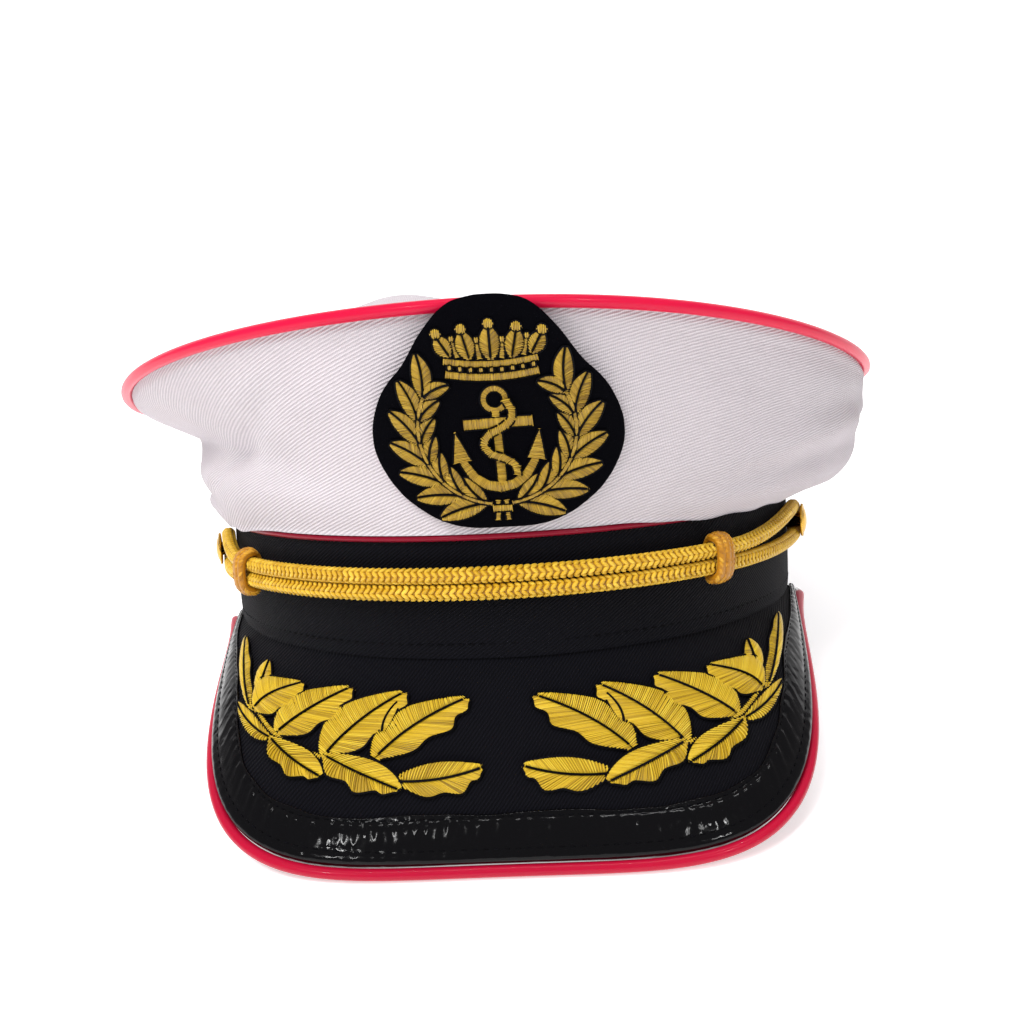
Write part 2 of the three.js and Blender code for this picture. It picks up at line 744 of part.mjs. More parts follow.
function knot(deg) {
  const steps = 16;
  const t0 = rad(deg);
  const half = 2.7;
  const hole = CORD_R + 0.35;
  const rows = [];
  const mid = oval(t0, CORD_OFF, CORD_Z);
  const out = mid.clone().sub(oval(t0, 0, CORD_Z)).normalize();
  const along = V(-out.y, out.x, 0);
  const at = (y, o, z) => mid.clone().addScaledVector(along, y).addScaledVector(out, o).add(V(0, 0, z));
  for (let i = 0; i < steps; i += 1) {
    const w = (i / steps) * Math.PI * 2;
    const c = Math.cos(w);
    const s = Math.sin(w);
    const z = (r) => s * r + Math.sign(s) * (Math.abs(s) > 0.01 ? CORD_SPREAD : 0);
    const inner = [c * hole, z(hole)];
    const fat = (k) => [c * (hole + (c > 0 ? 1.9 : 0.85) * k), z(hole + 2.1 * k)];
    const a = fat(0.55);
    const b = fat(1);
    rows.push([
      at(-half, ...inner),
      at(-half, ...a),
      at(-half * 0.45, ...b),
      at(half * 0.45, ...b),
      at(half, ...a),
      at(half, ...inner),
    ]);
  }
  return loft(rows, true);
}

add('slide_knot_left', knot(KNOT_LEFT), CORD);
add('slide_knot_right', knot(KNOT_RIGHT), CORD);

function button() {
  const head = CORD_LOW + CORD_R + 0.3;
  const pts = [
    [0, GAP], [2.05, GAP], [2.05, head - 0.1], [BUTTON_R - 0.8, head], [BUTTON_R, head + 0.4],
    [BUTTON_R - 0.1, head + 0.8], [BUTTON_R - 0.8, head + 1], [3, head + 1.5], [1.5, head + 1.8], [0, head + 1.9],
  ].map(([r, h]) => new THREE.Vector2(r, h));
  return new THREE.LatheGeometry(pts, 20);
}

function onBand(g, side) {
  const t = side * rad(BUTTON_AT);
  const p = oval(t, 0, BUTTON_Z);
  const out = oval(t, 1, BUTTON_Z).sub(p).normalize();
  const q = new THREE.Quaternion().setFromUnitVectors(V(0, 1, 0), out);
  g.applyQuaternion(q);
  g.translate(p.x, p.y, p.z);
  return g;
}

add('button_left', button(), BRASS, (g) => onBand(g, -1));
add('button_right', button(), BRASS, (g) => onBand(g, 1));

// ---- crown lining with the opening for the battery case -----------------------------
function liningBowl() {
  const steps = 36;
  const outer = [[-5.2, 29.2], [-4.4, 36], [-0.6, 44], [-2, 49], [-9, LINING_Z]];
  const pos = [];
  const idx = [];
  const push = (p) => pos.push(p.x, p.y, p.z) / 3 - 1;
  const ringAt = ([off, z]) => {
    const row = [];
    for (let i = 0; i < steps; i += 1) row.push(push(oval((i / steps) * Math.PI * 2, off, z)));
    return row;
  };
  const skin = outer.map(ringAt);
  const inside = outer.map(([off, z], i) => ringAt([off - (i < 4 ? 0.9 : 0.6), z - (i > 2 ? 0.8 : 0)]));
  const top = push(V(0, 0, LINING_Z));
  const low = push(V(0, 0, LINING_Z - 0.8));
  const wall = (a, b) => {
    for (let i = 0; i < steps; i += 1) {
      const j = (i + 1) % steps;
      idx.push(a[i], a[j], b[j], a[i], b[j], b[i]);
    }
  };
  wall(inside[0], skin[0]);
  for (let i = 0; i + 1 < outer.length; i += 1) {
    wall(skin[i], skin[i + 1]);
    wall(inside[i + 1], inside[i]);
  }
  const n = outer.length - 1;
  for (let i = 0; i < steps; i += 1) {
    const j = (i + 1) % steps;
    idx.push(skin[n][i], skin[n][j], top, inside[n][j], inside[n][i], low);
  }
  return solid(pos, idx);
}

const C = CASE;
const room = box(C.w + 1, C.l + 1, 30, 0, C.y, LINING_Z);
add('crown_lining', cut(liningBowl(), room), LINING);

// ---- battery case: opens downwards, cover slides off towards the back ---------------
const caseLow = C.z - C.h / 2;
const caseTop = C.z + C.h / 2;

function batteryCase() {
  const body = box(C.w, C.l, C.h, 0, C.y, C.z);
  const bay = box(24, C.l - 3, C.h - 2.4, -9.6, C.y, caseLow + (C.h - 2.4) / 2 - 0.01);
  const mouth = box(26.6, C.l + 2, 1.9, -9.6, C.y, caseLow + 0.85);
  const wing = box(16.4, C.l - 3, C.h - 2.8, 13, C.y, C.z);
  const hole = new THREE.CylinderGeometry(3.35, 3.35, 4, 20);
  hole.rotateX(Math.PI / 2);
  hole.translate(13, C.y - 4, caseLow);
  return cut(cut(cut(cut(body, bay), mouth), wing), hole);
}

add('battery_case', batteryCase(), PLASTIC);
add('battery_cover', box(26, C.l - 0.2, 1.2, -9.6, C.y, caseLow + 0.9), PLASTIC);

function cell(z) {
  const g = new THREE.CylinderGeometry(10, 10, 2.0, 24);
  g.rotateX(Math.PI / 2);
  g.translate(-9.6, C.y, z);
  return g;
}

add('coin_cell_lower', cell(caseLow + 3.0), STEEL);
add('coin_cell_upper', cell(caseLow + 5.3), STEEL);
add('driver_board', box(15, C.l - 5, 1.0, 13, C.y, caseTop - 2.6), BOARD);

function switchButton() {
  const stem = new THREE.LatheGeometry([
    [0, -2.6], [2.7, -2.6], [3.1, -2.2], [3.1, 1.6], [4.2, 1.6], [4.2, 2.6], [0, 2.6],
  ].map(([r, h]) => new THREE.Vector2(r, h)), 20);
  stem.rotateX(Math.PI / 2);
  stem.translate(13, C.y - 4, caseLow + 0.2);
  return stem;
}

add('switch_button', switchButton(), PLASTIC);

// ---- light sources and their leads --------------------------------------------------
function led(x, y, z, r = 1.5) {
  const g = new THREE.CylinderGeometry(r, r, 4.2, 12);
  g.rotateZ(Math.PI / 2);
  g.translate(x, y, z);
  return g;
}

const rimBack = rimPoint(Math.PI, 0, 0);
const seamBack = oval(Math.PI, -0.1, SEAM_Z);
add('led_crown', led(5, rimBack.y - 8.2, rimBack.z - 3.4), CLEAR);
add('led_band', led(-5, seamBack.y - 2.5, SEAM_Z + 3.9, 1.3), CLEAR);

function lead(name, points, steps) {
  const curve = new THREE.CatmullRomCurve3(points, false, 'centripetal');
  add(name, bar(curve.getSpacedPoints(steps), 0.55, 5, false, () => V(0.3, 0.2, 1)), LEAD);
}

const caseBack = C.y + C.l / 2 + GAP;
lead('light_lead_crown', [
  V(14, caseBack, 56), V(14, caseBack + 8, 57.5), V(11, caseBack + 26, 59), V(8.6, rimBack.y - 8.2, rimBack.z - 3.4),
], 12);
lead('light_lead_band', [
  V(8, caseBack, 55.4), V(5, caseBack + 10, 56), V(0, 95, 54), V(-1.4, 103, 49), V(-1.8, 103.6, 41), V(-2.4, 99.6, 35),
], 14);

const wireOff = stiffOut - STIFF_T - WIRE_ROOM / 2;
const sideT = rad(96);
const visorLeadEnd = visorTubeLine[visorTubeLine.length - 1];
lead('light_lead_visor', [
  V(C.w / 2 + GAP, C.y + 6, 56), V(C.w / 2 + 14, C.y + 4, 56.5), V(72, 34, 53.5), oval(sideT, 2.5, 48.5),
  oval(rad(95), 0.2, 40), oval(rad(94), wireOff + 0.15, 32), oval(rad(92), wireOff, 27), oval(rad(90), wireOff, 19),
  oval(rad(88), wireOff, 8),
  oval(rad(86), wireOff, -1.2),
], 30);

const ledVisor = new THREE.CylinderGeometry(1.3, 1.3, 3.6, 12);
ledVisor.translate(visorLeadEnd.x, visorLeadEnd.y + 2.6, visorLeadEnd.z);
add('led_visor', ledVisor, CLEAR);

// ---- stand the cap on its visor edge and the back of the band -----------------------
hat.rotation.x = rad(TILT);
tipped.updateMatrixWorld(true);
const reach = new THREE.Box3().setFromObject(tipped, true);
hat.position.set(
  -(reach.min.x + reach.max.x) / 2,
  -(reach.min.y + reach.max.y) / 2,
  -reach.min.z,
);
tipped.updateMatrixWorld(true);

export default tipped;
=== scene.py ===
import json
import math

import bmesh
import bpy
import numpy as np
from mathutils import Matrix, Vector
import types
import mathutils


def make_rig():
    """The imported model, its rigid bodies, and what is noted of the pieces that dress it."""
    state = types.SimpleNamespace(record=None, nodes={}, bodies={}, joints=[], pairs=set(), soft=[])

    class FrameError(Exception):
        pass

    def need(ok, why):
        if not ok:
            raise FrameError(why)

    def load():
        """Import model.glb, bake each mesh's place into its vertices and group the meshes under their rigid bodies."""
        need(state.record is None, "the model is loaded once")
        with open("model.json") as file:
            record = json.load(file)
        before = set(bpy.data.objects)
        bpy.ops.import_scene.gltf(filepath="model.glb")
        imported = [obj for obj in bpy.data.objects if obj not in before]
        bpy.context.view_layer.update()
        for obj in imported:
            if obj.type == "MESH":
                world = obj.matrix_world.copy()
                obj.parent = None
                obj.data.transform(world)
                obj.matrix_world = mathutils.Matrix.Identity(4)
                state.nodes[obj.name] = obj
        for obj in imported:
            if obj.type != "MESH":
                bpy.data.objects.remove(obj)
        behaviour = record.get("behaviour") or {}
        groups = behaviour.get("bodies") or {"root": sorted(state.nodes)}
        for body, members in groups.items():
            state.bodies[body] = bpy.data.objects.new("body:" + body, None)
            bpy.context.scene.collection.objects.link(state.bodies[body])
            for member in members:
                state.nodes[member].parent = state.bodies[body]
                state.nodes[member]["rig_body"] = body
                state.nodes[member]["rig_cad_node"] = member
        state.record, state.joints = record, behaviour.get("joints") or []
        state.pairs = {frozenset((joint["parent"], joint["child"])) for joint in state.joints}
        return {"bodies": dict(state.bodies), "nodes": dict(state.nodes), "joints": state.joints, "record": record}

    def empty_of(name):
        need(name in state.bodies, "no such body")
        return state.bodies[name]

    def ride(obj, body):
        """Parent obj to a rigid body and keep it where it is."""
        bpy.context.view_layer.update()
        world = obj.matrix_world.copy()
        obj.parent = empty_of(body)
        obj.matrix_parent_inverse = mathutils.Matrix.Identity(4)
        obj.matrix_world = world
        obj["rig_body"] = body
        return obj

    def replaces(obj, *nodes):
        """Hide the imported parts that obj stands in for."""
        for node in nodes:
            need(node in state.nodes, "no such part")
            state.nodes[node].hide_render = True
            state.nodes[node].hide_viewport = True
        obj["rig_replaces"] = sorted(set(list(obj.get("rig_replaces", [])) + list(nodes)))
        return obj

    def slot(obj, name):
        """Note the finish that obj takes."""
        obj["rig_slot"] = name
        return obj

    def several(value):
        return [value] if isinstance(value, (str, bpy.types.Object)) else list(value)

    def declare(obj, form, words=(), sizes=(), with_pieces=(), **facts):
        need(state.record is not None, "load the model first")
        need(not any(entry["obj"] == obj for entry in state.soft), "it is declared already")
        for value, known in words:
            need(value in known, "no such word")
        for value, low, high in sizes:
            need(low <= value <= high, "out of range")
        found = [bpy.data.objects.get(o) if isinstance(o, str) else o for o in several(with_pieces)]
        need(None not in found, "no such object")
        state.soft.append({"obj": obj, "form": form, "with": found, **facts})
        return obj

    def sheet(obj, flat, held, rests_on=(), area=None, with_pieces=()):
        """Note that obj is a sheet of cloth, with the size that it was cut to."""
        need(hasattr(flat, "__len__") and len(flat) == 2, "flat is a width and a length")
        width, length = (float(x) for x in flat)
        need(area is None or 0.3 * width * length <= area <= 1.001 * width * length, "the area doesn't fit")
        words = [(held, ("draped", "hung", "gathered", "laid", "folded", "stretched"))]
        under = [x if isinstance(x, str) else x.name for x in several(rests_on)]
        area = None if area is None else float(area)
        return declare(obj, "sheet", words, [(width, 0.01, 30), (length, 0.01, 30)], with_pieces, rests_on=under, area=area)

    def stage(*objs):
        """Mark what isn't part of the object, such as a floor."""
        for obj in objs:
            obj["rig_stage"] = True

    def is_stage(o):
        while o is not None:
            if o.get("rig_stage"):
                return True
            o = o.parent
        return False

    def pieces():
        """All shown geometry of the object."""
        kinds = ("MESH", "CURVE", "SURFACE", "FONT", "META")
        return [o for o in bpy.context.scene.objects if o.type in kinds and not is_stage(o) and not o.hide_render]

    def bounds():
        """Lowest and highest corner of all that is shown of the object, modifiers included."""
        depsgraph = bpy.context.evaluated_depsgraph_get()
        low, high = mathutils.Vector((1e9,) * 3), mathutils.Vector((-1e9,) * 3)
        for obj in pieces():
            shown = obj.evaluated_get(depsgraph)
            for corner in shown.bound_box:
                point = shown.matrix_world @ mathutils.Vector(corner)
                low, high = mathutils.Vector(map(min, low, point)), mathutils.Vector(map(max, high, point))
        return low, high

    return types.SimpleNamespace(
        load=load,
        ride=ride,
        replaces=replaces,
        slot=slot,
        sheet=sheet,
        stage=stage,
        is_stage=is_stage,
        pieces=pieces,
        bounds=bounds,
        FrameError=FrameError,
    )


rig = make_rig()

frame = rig.load()
CAD_BOX = [list(p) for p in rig.bounds()]
NODES = frame["nodes"]
RNG = np.random.default_rng(7)

# ---- sizes of the cap, millimetres, in the cap's own frame (band's lower edge at z = 0) ----
TILT = math.radians(-12.3016)
STAND = (2.6, -0.5630, 21.7319)
BAND_RX, BAND_RY, BAND_TOP = 89.0, 102.0, 29.6
SEAM_Z, SEAM_TUBE_R = 31.1, 1.2
RIM_RX_RIGHT, RIM_RX_LEFT, RIM_RY, RIM_Y, RIM_POWER = 119.0, 113.8, 120.9, -1.0, 1.95
RIM_Z_SIDE, RIM_RISE_FRONT, RIM_TUBE_R = 63.2, 23.1, 1.6
VISOR_START_Y, VISOR_RX, VISOR_TAPER = -17.0, 88.8, 0.074
VISOR_LEN, VISOR_POWER, VISOR_DROP = 104.5, 4.8, 43.0
BINDING_W, VISOR_TUBE_R, VISOR_UNDER = 9.5, 1.5, -3.7
CORD_R, CORD_OFF, CORD_LOW, CORD_Z, CORD_SPREAD = 2.0, 3.6, 2.35, 19.5, 2.12
KNOT_LEFT, KNOT_RIGHT, BUTTON_AT, BUTTON_Z, BUTTON_R = -50.0, 38.0, 72.0, 21.8, 5.0
BADGE_X, BADGE_UP, WALL_RISE = 3.2, 29.8, 57.0
BAND_LOW, BAND_STITCH_Z = -0.4, 3.4
SHANK_R = 2.05
MEAN_R = 104.0               # the crown's and the cord's mean radius at the front

TO_ROW = (Matrix.Translation(Vector(STAND)) @ Matrix.Rotation(TILT, 4, "X")).to_4x4()
ROW = np.array(TO_ROW)


def to_row(p):
    """Cap millimetres to row metres."""
    p = np.asarray(p, float)
    return (p @ ROW[:3, :3].T + ROW[:3, 3]) / 1000


def lerp(a, b, k):
    return a + (b - a) * k


def smooth(a, b, x):
    k = np.clip((x - a) / (b - a), 0, 1)
    return k * k * (3 - 2 * k)


def unit(v):
    return v / np.maximum(np.linalg.norm(v, axis=-1, keepdims=True), 1e-12)


def stack(*parts):
    return np.stack(np.broadcast_arrays(*[np.asarray(a, float) for a in parts]), -1)


# ---- surfaces ----------------------------------------------------------------------
def oval(t, off, z):
    s, c = np.sin(t), np.cos(t)
    n = unit(stack(s * BAND_RY, -c * BAND_RX, 0 * s))
    return stack(BAND_RX * s, -BAND_RY * c, 0 * s + z) + n * np.asarray(off, float)[..., None]


def rim(t, inward, up):
    s, c = np.sin(t), np.cos(t)
    r = (np.abs(s) ** RIM_POWER + np.abs(c) ** RIM_POWER) ** (-1 / RIM_POWER)
    z = RIM_Z_SIDE + RIM_RISE_FRONT * ((c + np.sqrt(c * c + 0.03)) / 2) ** np.where(s < 0, 1.04, 1.34)
    p = stack(np.where(s < 0, RIM_RX_RIGHT, RIM_RX_LEFT) * r * s, RIM_Y - RIM_RY * r * c, z + up)
    d = unit(stack(p[..., 0], p[..., 1] - RIM_Y, 0 * s))
    return p - d * np.asarray(inward, float)[..., None]


# How far out the side wall has come at eleven heights. The wearer's right side (-X) is sucked
# in above a small roll, and the left bulges out over the band.
FLARE = {
    "front": [0, 0.09, 0.17, 0.26, 0.36, 0.46, 0.57, 0.68, 0.79, 0.9, 1],
    "wearers_right": [0, 0.19, 0.284, 0.235, 0.2, 0.205, 0.28, 0.44, 0.67, 0.888, 1],
    "wearers_left": [0, 0.62, 0.82, 0.9, 0.95, 1.0, 1.05, 1.08, 1.08, 1.05, 1],
    "back": [0, 0.16, 0.3, 0.43, 0.55, 0.66, 0.76, 0.84, 0.9, 0.95, 1],
}
HEIGHTS = np.linspace(0, 1, 11)


def curve_of(row, v):
    """The given values joined by a soft curve instead of straight steps."""
    row = np.array(row)
    h = 0.035
    near = np.interp(v - h, HEIGHTS, row) + np.interp(v + h, HEIGHTS, row)
    return (near + 2 * np.interp(v, HEIGHTS, row)) / 4


def flare(t, v):
    s, c = np.sin(t), np.cos(t)
    side = np.where(s < 0, curve_of(FLARE["wearers_right"], v), curve_of(FLARE["wearers_left"], v))
    run = np.where(c > 0, curve_of(FLARE["front"], v), curve_of(FLARE["back"], v))
    return side * s * s + run * c * c


# Soft folds of the crown: degrees round from the front, height from 0 to 1, half length in
# degrees, half width, slope, and depth in mm (minus for a valley).
FOLD_GAIN = 1.4
FOLDS = [
    (-78, 0.30, 26, 0.10, -0.50, -2.8),
    (-62, 0.60, 32, 0.12, -0.55, -2.6),
    (-56, 0.34, 26, 0.12, -0.30, 1.6),
    (-44, 0.48, 18, 0.10, 0.60, -1.6),
    (-88, 0.66, 20, 0.10, 0.20, -2.0),
    (-33, 0.72, 14, 0.20, 0.20, 0.9),
    (42, 0.22, 26, 0.10, 0.35, -1.5),
    (56, 0.45, 24, 0.12, 0.50, 1.4),
    (70, 0.72, 20, 0.12, 0.30, -1.3),
    (86, 0.50, 18, 0.14, -0.40, -1.6),
    (32, 0.80, 12, 0.14, -0.20, -0.8),
    (120, 0.45, 26, 0.16, 0.40, -1.6),
    (150, 0.60, 24, 0.16, -0.40, 1.5),
    (185, 0.40, 26, 0.18, 0.20, -1.6),
    (215, 0.60, 22, 0.16, 0.40, 1.3),
    (245, 0.40, 24, 0.14, -0.40, -1.7),
]


def folds(t, v):
    total = 0 * t
    for at, height, run, spread, slope, depth in FOLDS:
        d = (np.degrees(t) - at + 180) % 360 - 180
        across = (v - height - slope * d / run * 0.5) / spread
        total = total + depth * np.exp(-(across ** 2)) * np.exp(-((d / run) ** 2))
    return FOLD_GAIN * total * np.sin(np.pi * np.clip(v, 0, 1)) ** 0.7


WALL_LOW = SEAM_Z + 0.35


def wall(t, v, off, folded=1.0):
    deg = np.degrees(t)
    over = smooth(20, 36, deg) * (1 - smooth(100, 125, deg)) + smooth(42, 58, -deg)
    over = over + 0.15 * over * np.sin(deg * 0.55)
    low = oval(t, 0.9 + 0.9 * over, WALL_LOW - 1.5 * over)
    high = rim(t, RIM_TUBE_R - 0.35, -0.9)
    w = flare(t, v)
    p = stack(
        lerp(low[..., 0], high[..., 0], w),
        lerp(low[..., 1], high[..., 1], w),
        lerp(low[..., 2], high[..., 2], v),
    )
    out = unit(stack(p[..., 0], p[..., 1], 0 * t))
    return p + out * (np.asarray(off, float) + folded * folds(t, v))[..., None]


VISOR_END = math.acos(-VISOR_START_Y / BAND_RY)


def visor_edge(u):
    s, c = np.sin(u * np.pi / 2), np.cos(u * np.pi / 2)
    r = (np.abs(s) ** VISOR_POWER + np.abs(c) ** VISOR_POWER) ** (-1 / VISOR_POWER)
    y = VISOR_START_Y - 1 - VISOR_LEN * r * c
    k = np.maximum(VISOR_START_Y - 1 - y, 0) / VISOR_LEN
    x = VISOR_RX * (1 - VISOR_TAPER * k) * r * s * lerp(0.965, 1, u ** 4)
    return stack(x, y, -VISOR_DROP * k ** 1.45 - 1.2)


def visor_point(u, v):
    a = oval(u * VISOR_END, -1.2 + 0 * u, -0.5)
    bow = 4 * v * (1 - v) * 2.2 * (1 - u * u)
    p = a + (visor_edge(u) - a) * np.asarray(v, float)[..., None]
    return p + stack(0 * bow, 0 * bow, bow)


def visor_normal(u):
    e = 0.01
    seven = 0 * u + 0.7
    du = visor_point(np.minimum(u + e, 1), seven) - visor_point(np.maximum(u - e, -1), seven)
    dv = visor_point(u, 0 * u + 1) - visor_point(u, 0 * u)
    n = unit(np.cross(du, dv))
    return n * np.where(n[..., 2:] < 0, -1, 1)


def visor(u, v, off):
    u, v = np.broadcast_arrays(np.asarray(u, float), np.asarray(v, float))
    return visor_point(u, v) + visor_normal(u) * np.asarray(off, float)[..., None]


def visor_u(k):
    w = k * 2 - 1
    return w * (0.72 + 0.28 * w * w) * 0.995


def edge_frame(u):
    p = visor_point(u, 0 * u + 1)
    n = visor_normal(u)
    e = 0.01
    t = unit(visor_edge(np.minimum(u + e, 1)) - visor_edge(np.maximum(u - e, -1)))
    o = unit(np.cross(t, n))
    inward = visor_point(u, 0 * u + 0.5) - p
    o = o * np.where((o * inward).sum(-1, keepdims=True) > 0, -1, 1)
    deep = np.linalg.norm(visor_point(u, 0 * u) - p, axis=-1)
    square = np.abs((unit(inward) * o).sum(-1))
    return p, n, o, t, deep, square


def badge(x, y, off):
    """A point over the badge: x to the wearer's left, y up, off out from the patch's back."""
    x, y = np.broadcast_arrays(np.asarray(x, float), np.asarray(y, float))
    up = y + BADGE_UP
    v = np.clip(up / WALL_RISE, 0, 1)
    t = np.arcsin((x + BADGE_X) / MEAN_R)
    for _ in range(5):       # steps towards the place on the wall with this x
        t = t + (x + BADGE_X - wall(t, v, 0 * t, 0)[..., 0]) / (MEAN_R + 8)
    clear = 0.4 + 5 * smooth(14, 54, up)
    p = wall(t, v, 0 * t, 0)
    lift = np.maximum(up / WALL_RISE - 1, 0) * WALL_RISE
    return p + stack(0 * t, -(clear + off), lift + (clear + off) * 0.25)


# ---- looks ---------------------------------------------------------------------------
def linear(colour):
    """sRGB hex to the linear colour that a shader takes."""
    c = np.array([int(colour[i:i + 2], 16) / 255 for i in (1, 3, 5)])
    c = np.where(c <= 0.04045, c / 12.92, ((c + 0.055) / 1.055) ** 2.4)
    return (*[float(a) for a in c], 1.0)


def put(tree, kind, inputs=None, **settings):
    """Adds a node, sets it up and links whatever inputs are outputs of other nodes."""
    n = tree.nodes.new(kind)
    for key, value in settings.items():
        setattr(n, key, value)
    for key, value in (inputs or {}).items():
        socket = n.inputs[key]
        if isinstance(value, bpy.types.NodeSocket):
            tree.links.new(value, socket)
        else:
            socket.default_value = value
    return n


def start_look(name):
    m = bpy.data.materials.new(name)
    m.use_nodes = True
    m.node_tree.nodes.clear()
    return m, m.node_tree


def end_look(tree, inputs):
    p = put(tree, "ShaderNodeBsdfPrincipled", inputs)
    put(tree, "ShaderNodeOutputMaterial", {"Surface": p.outputs[0]})


WAVE = 2 * math.pi / 20      # a wave texture of this scale repeats once per unit


def cloth_coords(tree, from_uv):
    """Coordinates in millimetres: on the cut cloth, or through the solid."""
    if from_uv:
        return put(tree, "ShaderNodeUVMap", uv_map="cloth").outputs[0]
    o = put(tree, "ShaderNodeTexCoord").outputs["Object"]
    return put(tree, "ShaderNodeMapping", {"Vector": o, "Scale": (1000, 1000, 1000)}).outputs[0]


def twill(name, high, low, pitch, slant, depth, from_uv=True, sheen=0.2):
    """Diagonal twill: raised slanted ribs, crossed by the finer weft, slightly uneven."""
    m, t = start_look(name)
    co = cloth_coords(t, from_uv)
    turned = put(t, "ShaderNodeMapping", {"Vector": co, "Rotation": (0, 0, slant)}).outputs[0]
    ribs = put(t, "ShaderNodeTexWave", {
        "Vector": turned, "Scale": WAVE / pitch, "Distortion": 0.9, "Detail": 1.0, "Detail Scale": 1.5,
    }, bands_direction="Y").outputs["Fac"]
    weft = put(t, "ShaderNodeTexWave", {
        "Vector": co, "Scale": WAVE / (pitch * 0.55), "Distortion": 1.2, "Detail": 0.0,
    }, bands_direction="X").outputs["Fac"]
    raised = put(t, "ShaderNodeMath", {0: ribs, 1: 0.75}, operation="MULTIPLY").outputs[0]
    crossed = put(t, "ShaderNodeMath", {0: weft, 1: 0.25}, operation="MULTIPLY").outputs[0]
    height = put(t, "ShaderNodeMath", {0: raised, 1: crossed}, operation="ADD").outputs[0]
    cloudy = put(t, "ShaderNodeTexNoise", {"Vector": co, "Scale": 0.05, "Detail": 3.0}).outputs["Fac"]
    soiling = put(t, "ShaderNodeMath", {0: cloudy, 1: 0.10}, operation="MULTIPLY").outputs[0]
    # Painted shade: the grooves between the ribs take the darker colour, by the same height that drives the bump.
    mix = put(t, "ShaderNodeMix", {0: height, 6: linear(low), 7: linear(high)}, data_type="RGBA")
    colour = mix.outputs[2]
    mix = put(t, "ShaderNodeMix", {0: soiling, 6: colour, 7: linear("#000000")}, data_type="RGBA")
    colour = mix.outputs[2]
    bump = put(t, "ShaderNodeBump", {"Height": height, "Strength": 0.8, "Distance": depth / 1000}).outputs[0]
    end_look(t, {
        "Base Color": colour, "Roughness": 0.85, "Normal": bump, "Sheen Weight": sheen,
        "Sheen Roughness": 0.4, "Specular IOR Level": 0.12,
    })
    return m


def thread_look(name, dark, mid, light, rough=0.38, glow=0.12, spec=0.5):
    """Silky thread: every stitch has its own tone, with fine fibres along it."""
    m, t = start_look(name)
    tone = put(t, "ShaderNodeAttribute", attribute_name="tone").outputs["Fac"]
    ramp = put(t, "ShaderNodeValToRGB", {"Fac": tone})
    e = ramp.color_ramp.elements
    e[0].color, e[1].color = linear(dark), linear(light)
    e[0].position, e[1].position = 0.0, 1.0
    e.new(0.5).color = linear(mid)
    co = cloth_coords(t, False)
    fuzz = put(t, "ShaderNodeTexNoise", {"Vector": co, "Scale": 3.0, "Detail": 2.0}).outputs["Fac"]
    fibres = put(t, "ShaderNodeMath", {0: fuzz, 1: 0.25}, operation="MULTIPLY").outputs[0]
    mix = put(t, "ShaderNodeMix", {0: fibres, 6: ramp.outputs[0], 7: linear(dark)}, data_type="RGBA")
    colour = mix.outputs[2]
    bump = put(t, "ShaderNodeBump", {"Height": fuzz, "Strength": 0.3, "Distance": 0.0001}).outputs[0]
    end_look(t, {
        "Base Color": colour, "Roughness": rough, "Normal": bump, "Sheen Weight": glow,
        "Sheen Roughness": 0.35, "Specular IOR Level": spec,
    })
    return m


def patent(name):
    """Patent PVC: wet black coat with fine crinkles pressed in by the sewing."""
    m, t = start_look(name)
    co = cloth_coords(t, False)
    cells = put(t, "ShaderNodeTexVoronoi", {"Vector": co, "Scale": 0.42}, feature="SMOOTH_F1")
    crinkle = cells.outputs["Distance"]
    soft = put(t, "ShaderNodeTexNoise", {"Vector": co, "Scale": 0.11, "Detail": 2.0}).outputs["Fac"]
    fine = put(t, "ShaderNodeMath", {0: crinkle, 1: 0.5}, operation="MULTIPLY").outputs[0]
    height = put(t, "ShaderNodeMath", {0: fine, 1: soft}, operation="ADD").outputs[0]
    bump = put(t, "ShaderNodeBump", {"Height": height, "Strength": 0.5, "Distance": 0.0009}).outputs[0]
    end_look(t, {
        "Base Color": linear("#050507"), "Roughness": 0.12, "Normal": bump,
        "Specular IOR Level": 0.12, "Coat Weight": 0.14, "Coat Roughness": 0.03,
    })
    return m


def lit_tube(name, body, glow, strength):
    """Translucent PVC light tube: red all through, glowing pink, with a glossy skin."""
    m, t = start_look(name)
    co = cloth_coords(t, False)
    uneven = put(t, "ShaderNodeTexNoise", {"Vector": co, "Scale": 0.02, "Detail": 1.0}).outputs["Fac"]
    power = put(t, "ShaderNodeMath", {0: uneven, 1: strength * 2}, operation="MULTIPLY").outputs[0]
    end_look(t, {
        "Base Color": linear(body), "Roughness": 0.3, "Subsurface Weight": 0.3,
        "Subsurface Radius": (0.004, 0.001, 0.001), "Emission Color": linear(glow),
        "Emission Strength": power, "Coat Weight": 0.12, "Coat Roughness": 0.08, "Specular IOR Level": 0.15,
    })
    return m


def plain(name, colour, rough, metal=0.0, grain=0.0, grain_scale=2.0, coat=0.0, spec=0.5):
    """One colour with a grain: moulded plastic, board, plated steel, lacquered brass."""
    m, t = start_look(name)
    co = cloth_coords(t, False)
    noise = put(t, "ShaderNodeTexNoise", {"Vector": co, "Scale": grain_scale, "Detail": 3.0}).outputs["Fac"]
    specks = put(t, "ShaderNodeMath", {0: noise, 1: 0.22}, operation="MULTIPLY").outputs[0]
    mix = put(t, "ShaderNodeMix", {0: specks, 6: linear(colour), 7: linear("#000000")}, data_type="RGBA")
    shade = mix.outputs[2]
    bump = put(t, "ShaderNodeBump", {"Height": noise, "Strength": grain, "Distance": 0.0003}).outputs[0]
    end_look(t, {
        "Base Color": shade, "Roughness": rough, "Metallic": metal, "Normal": bump, "Coat Weight": coat,
        "Specular IOR Level": spec,
    })
    return m


WHITE_SLANT, BLACK_SLANT, VISOR_SLANT = math.radians(-20), math.radians(-33), math.radians(55)

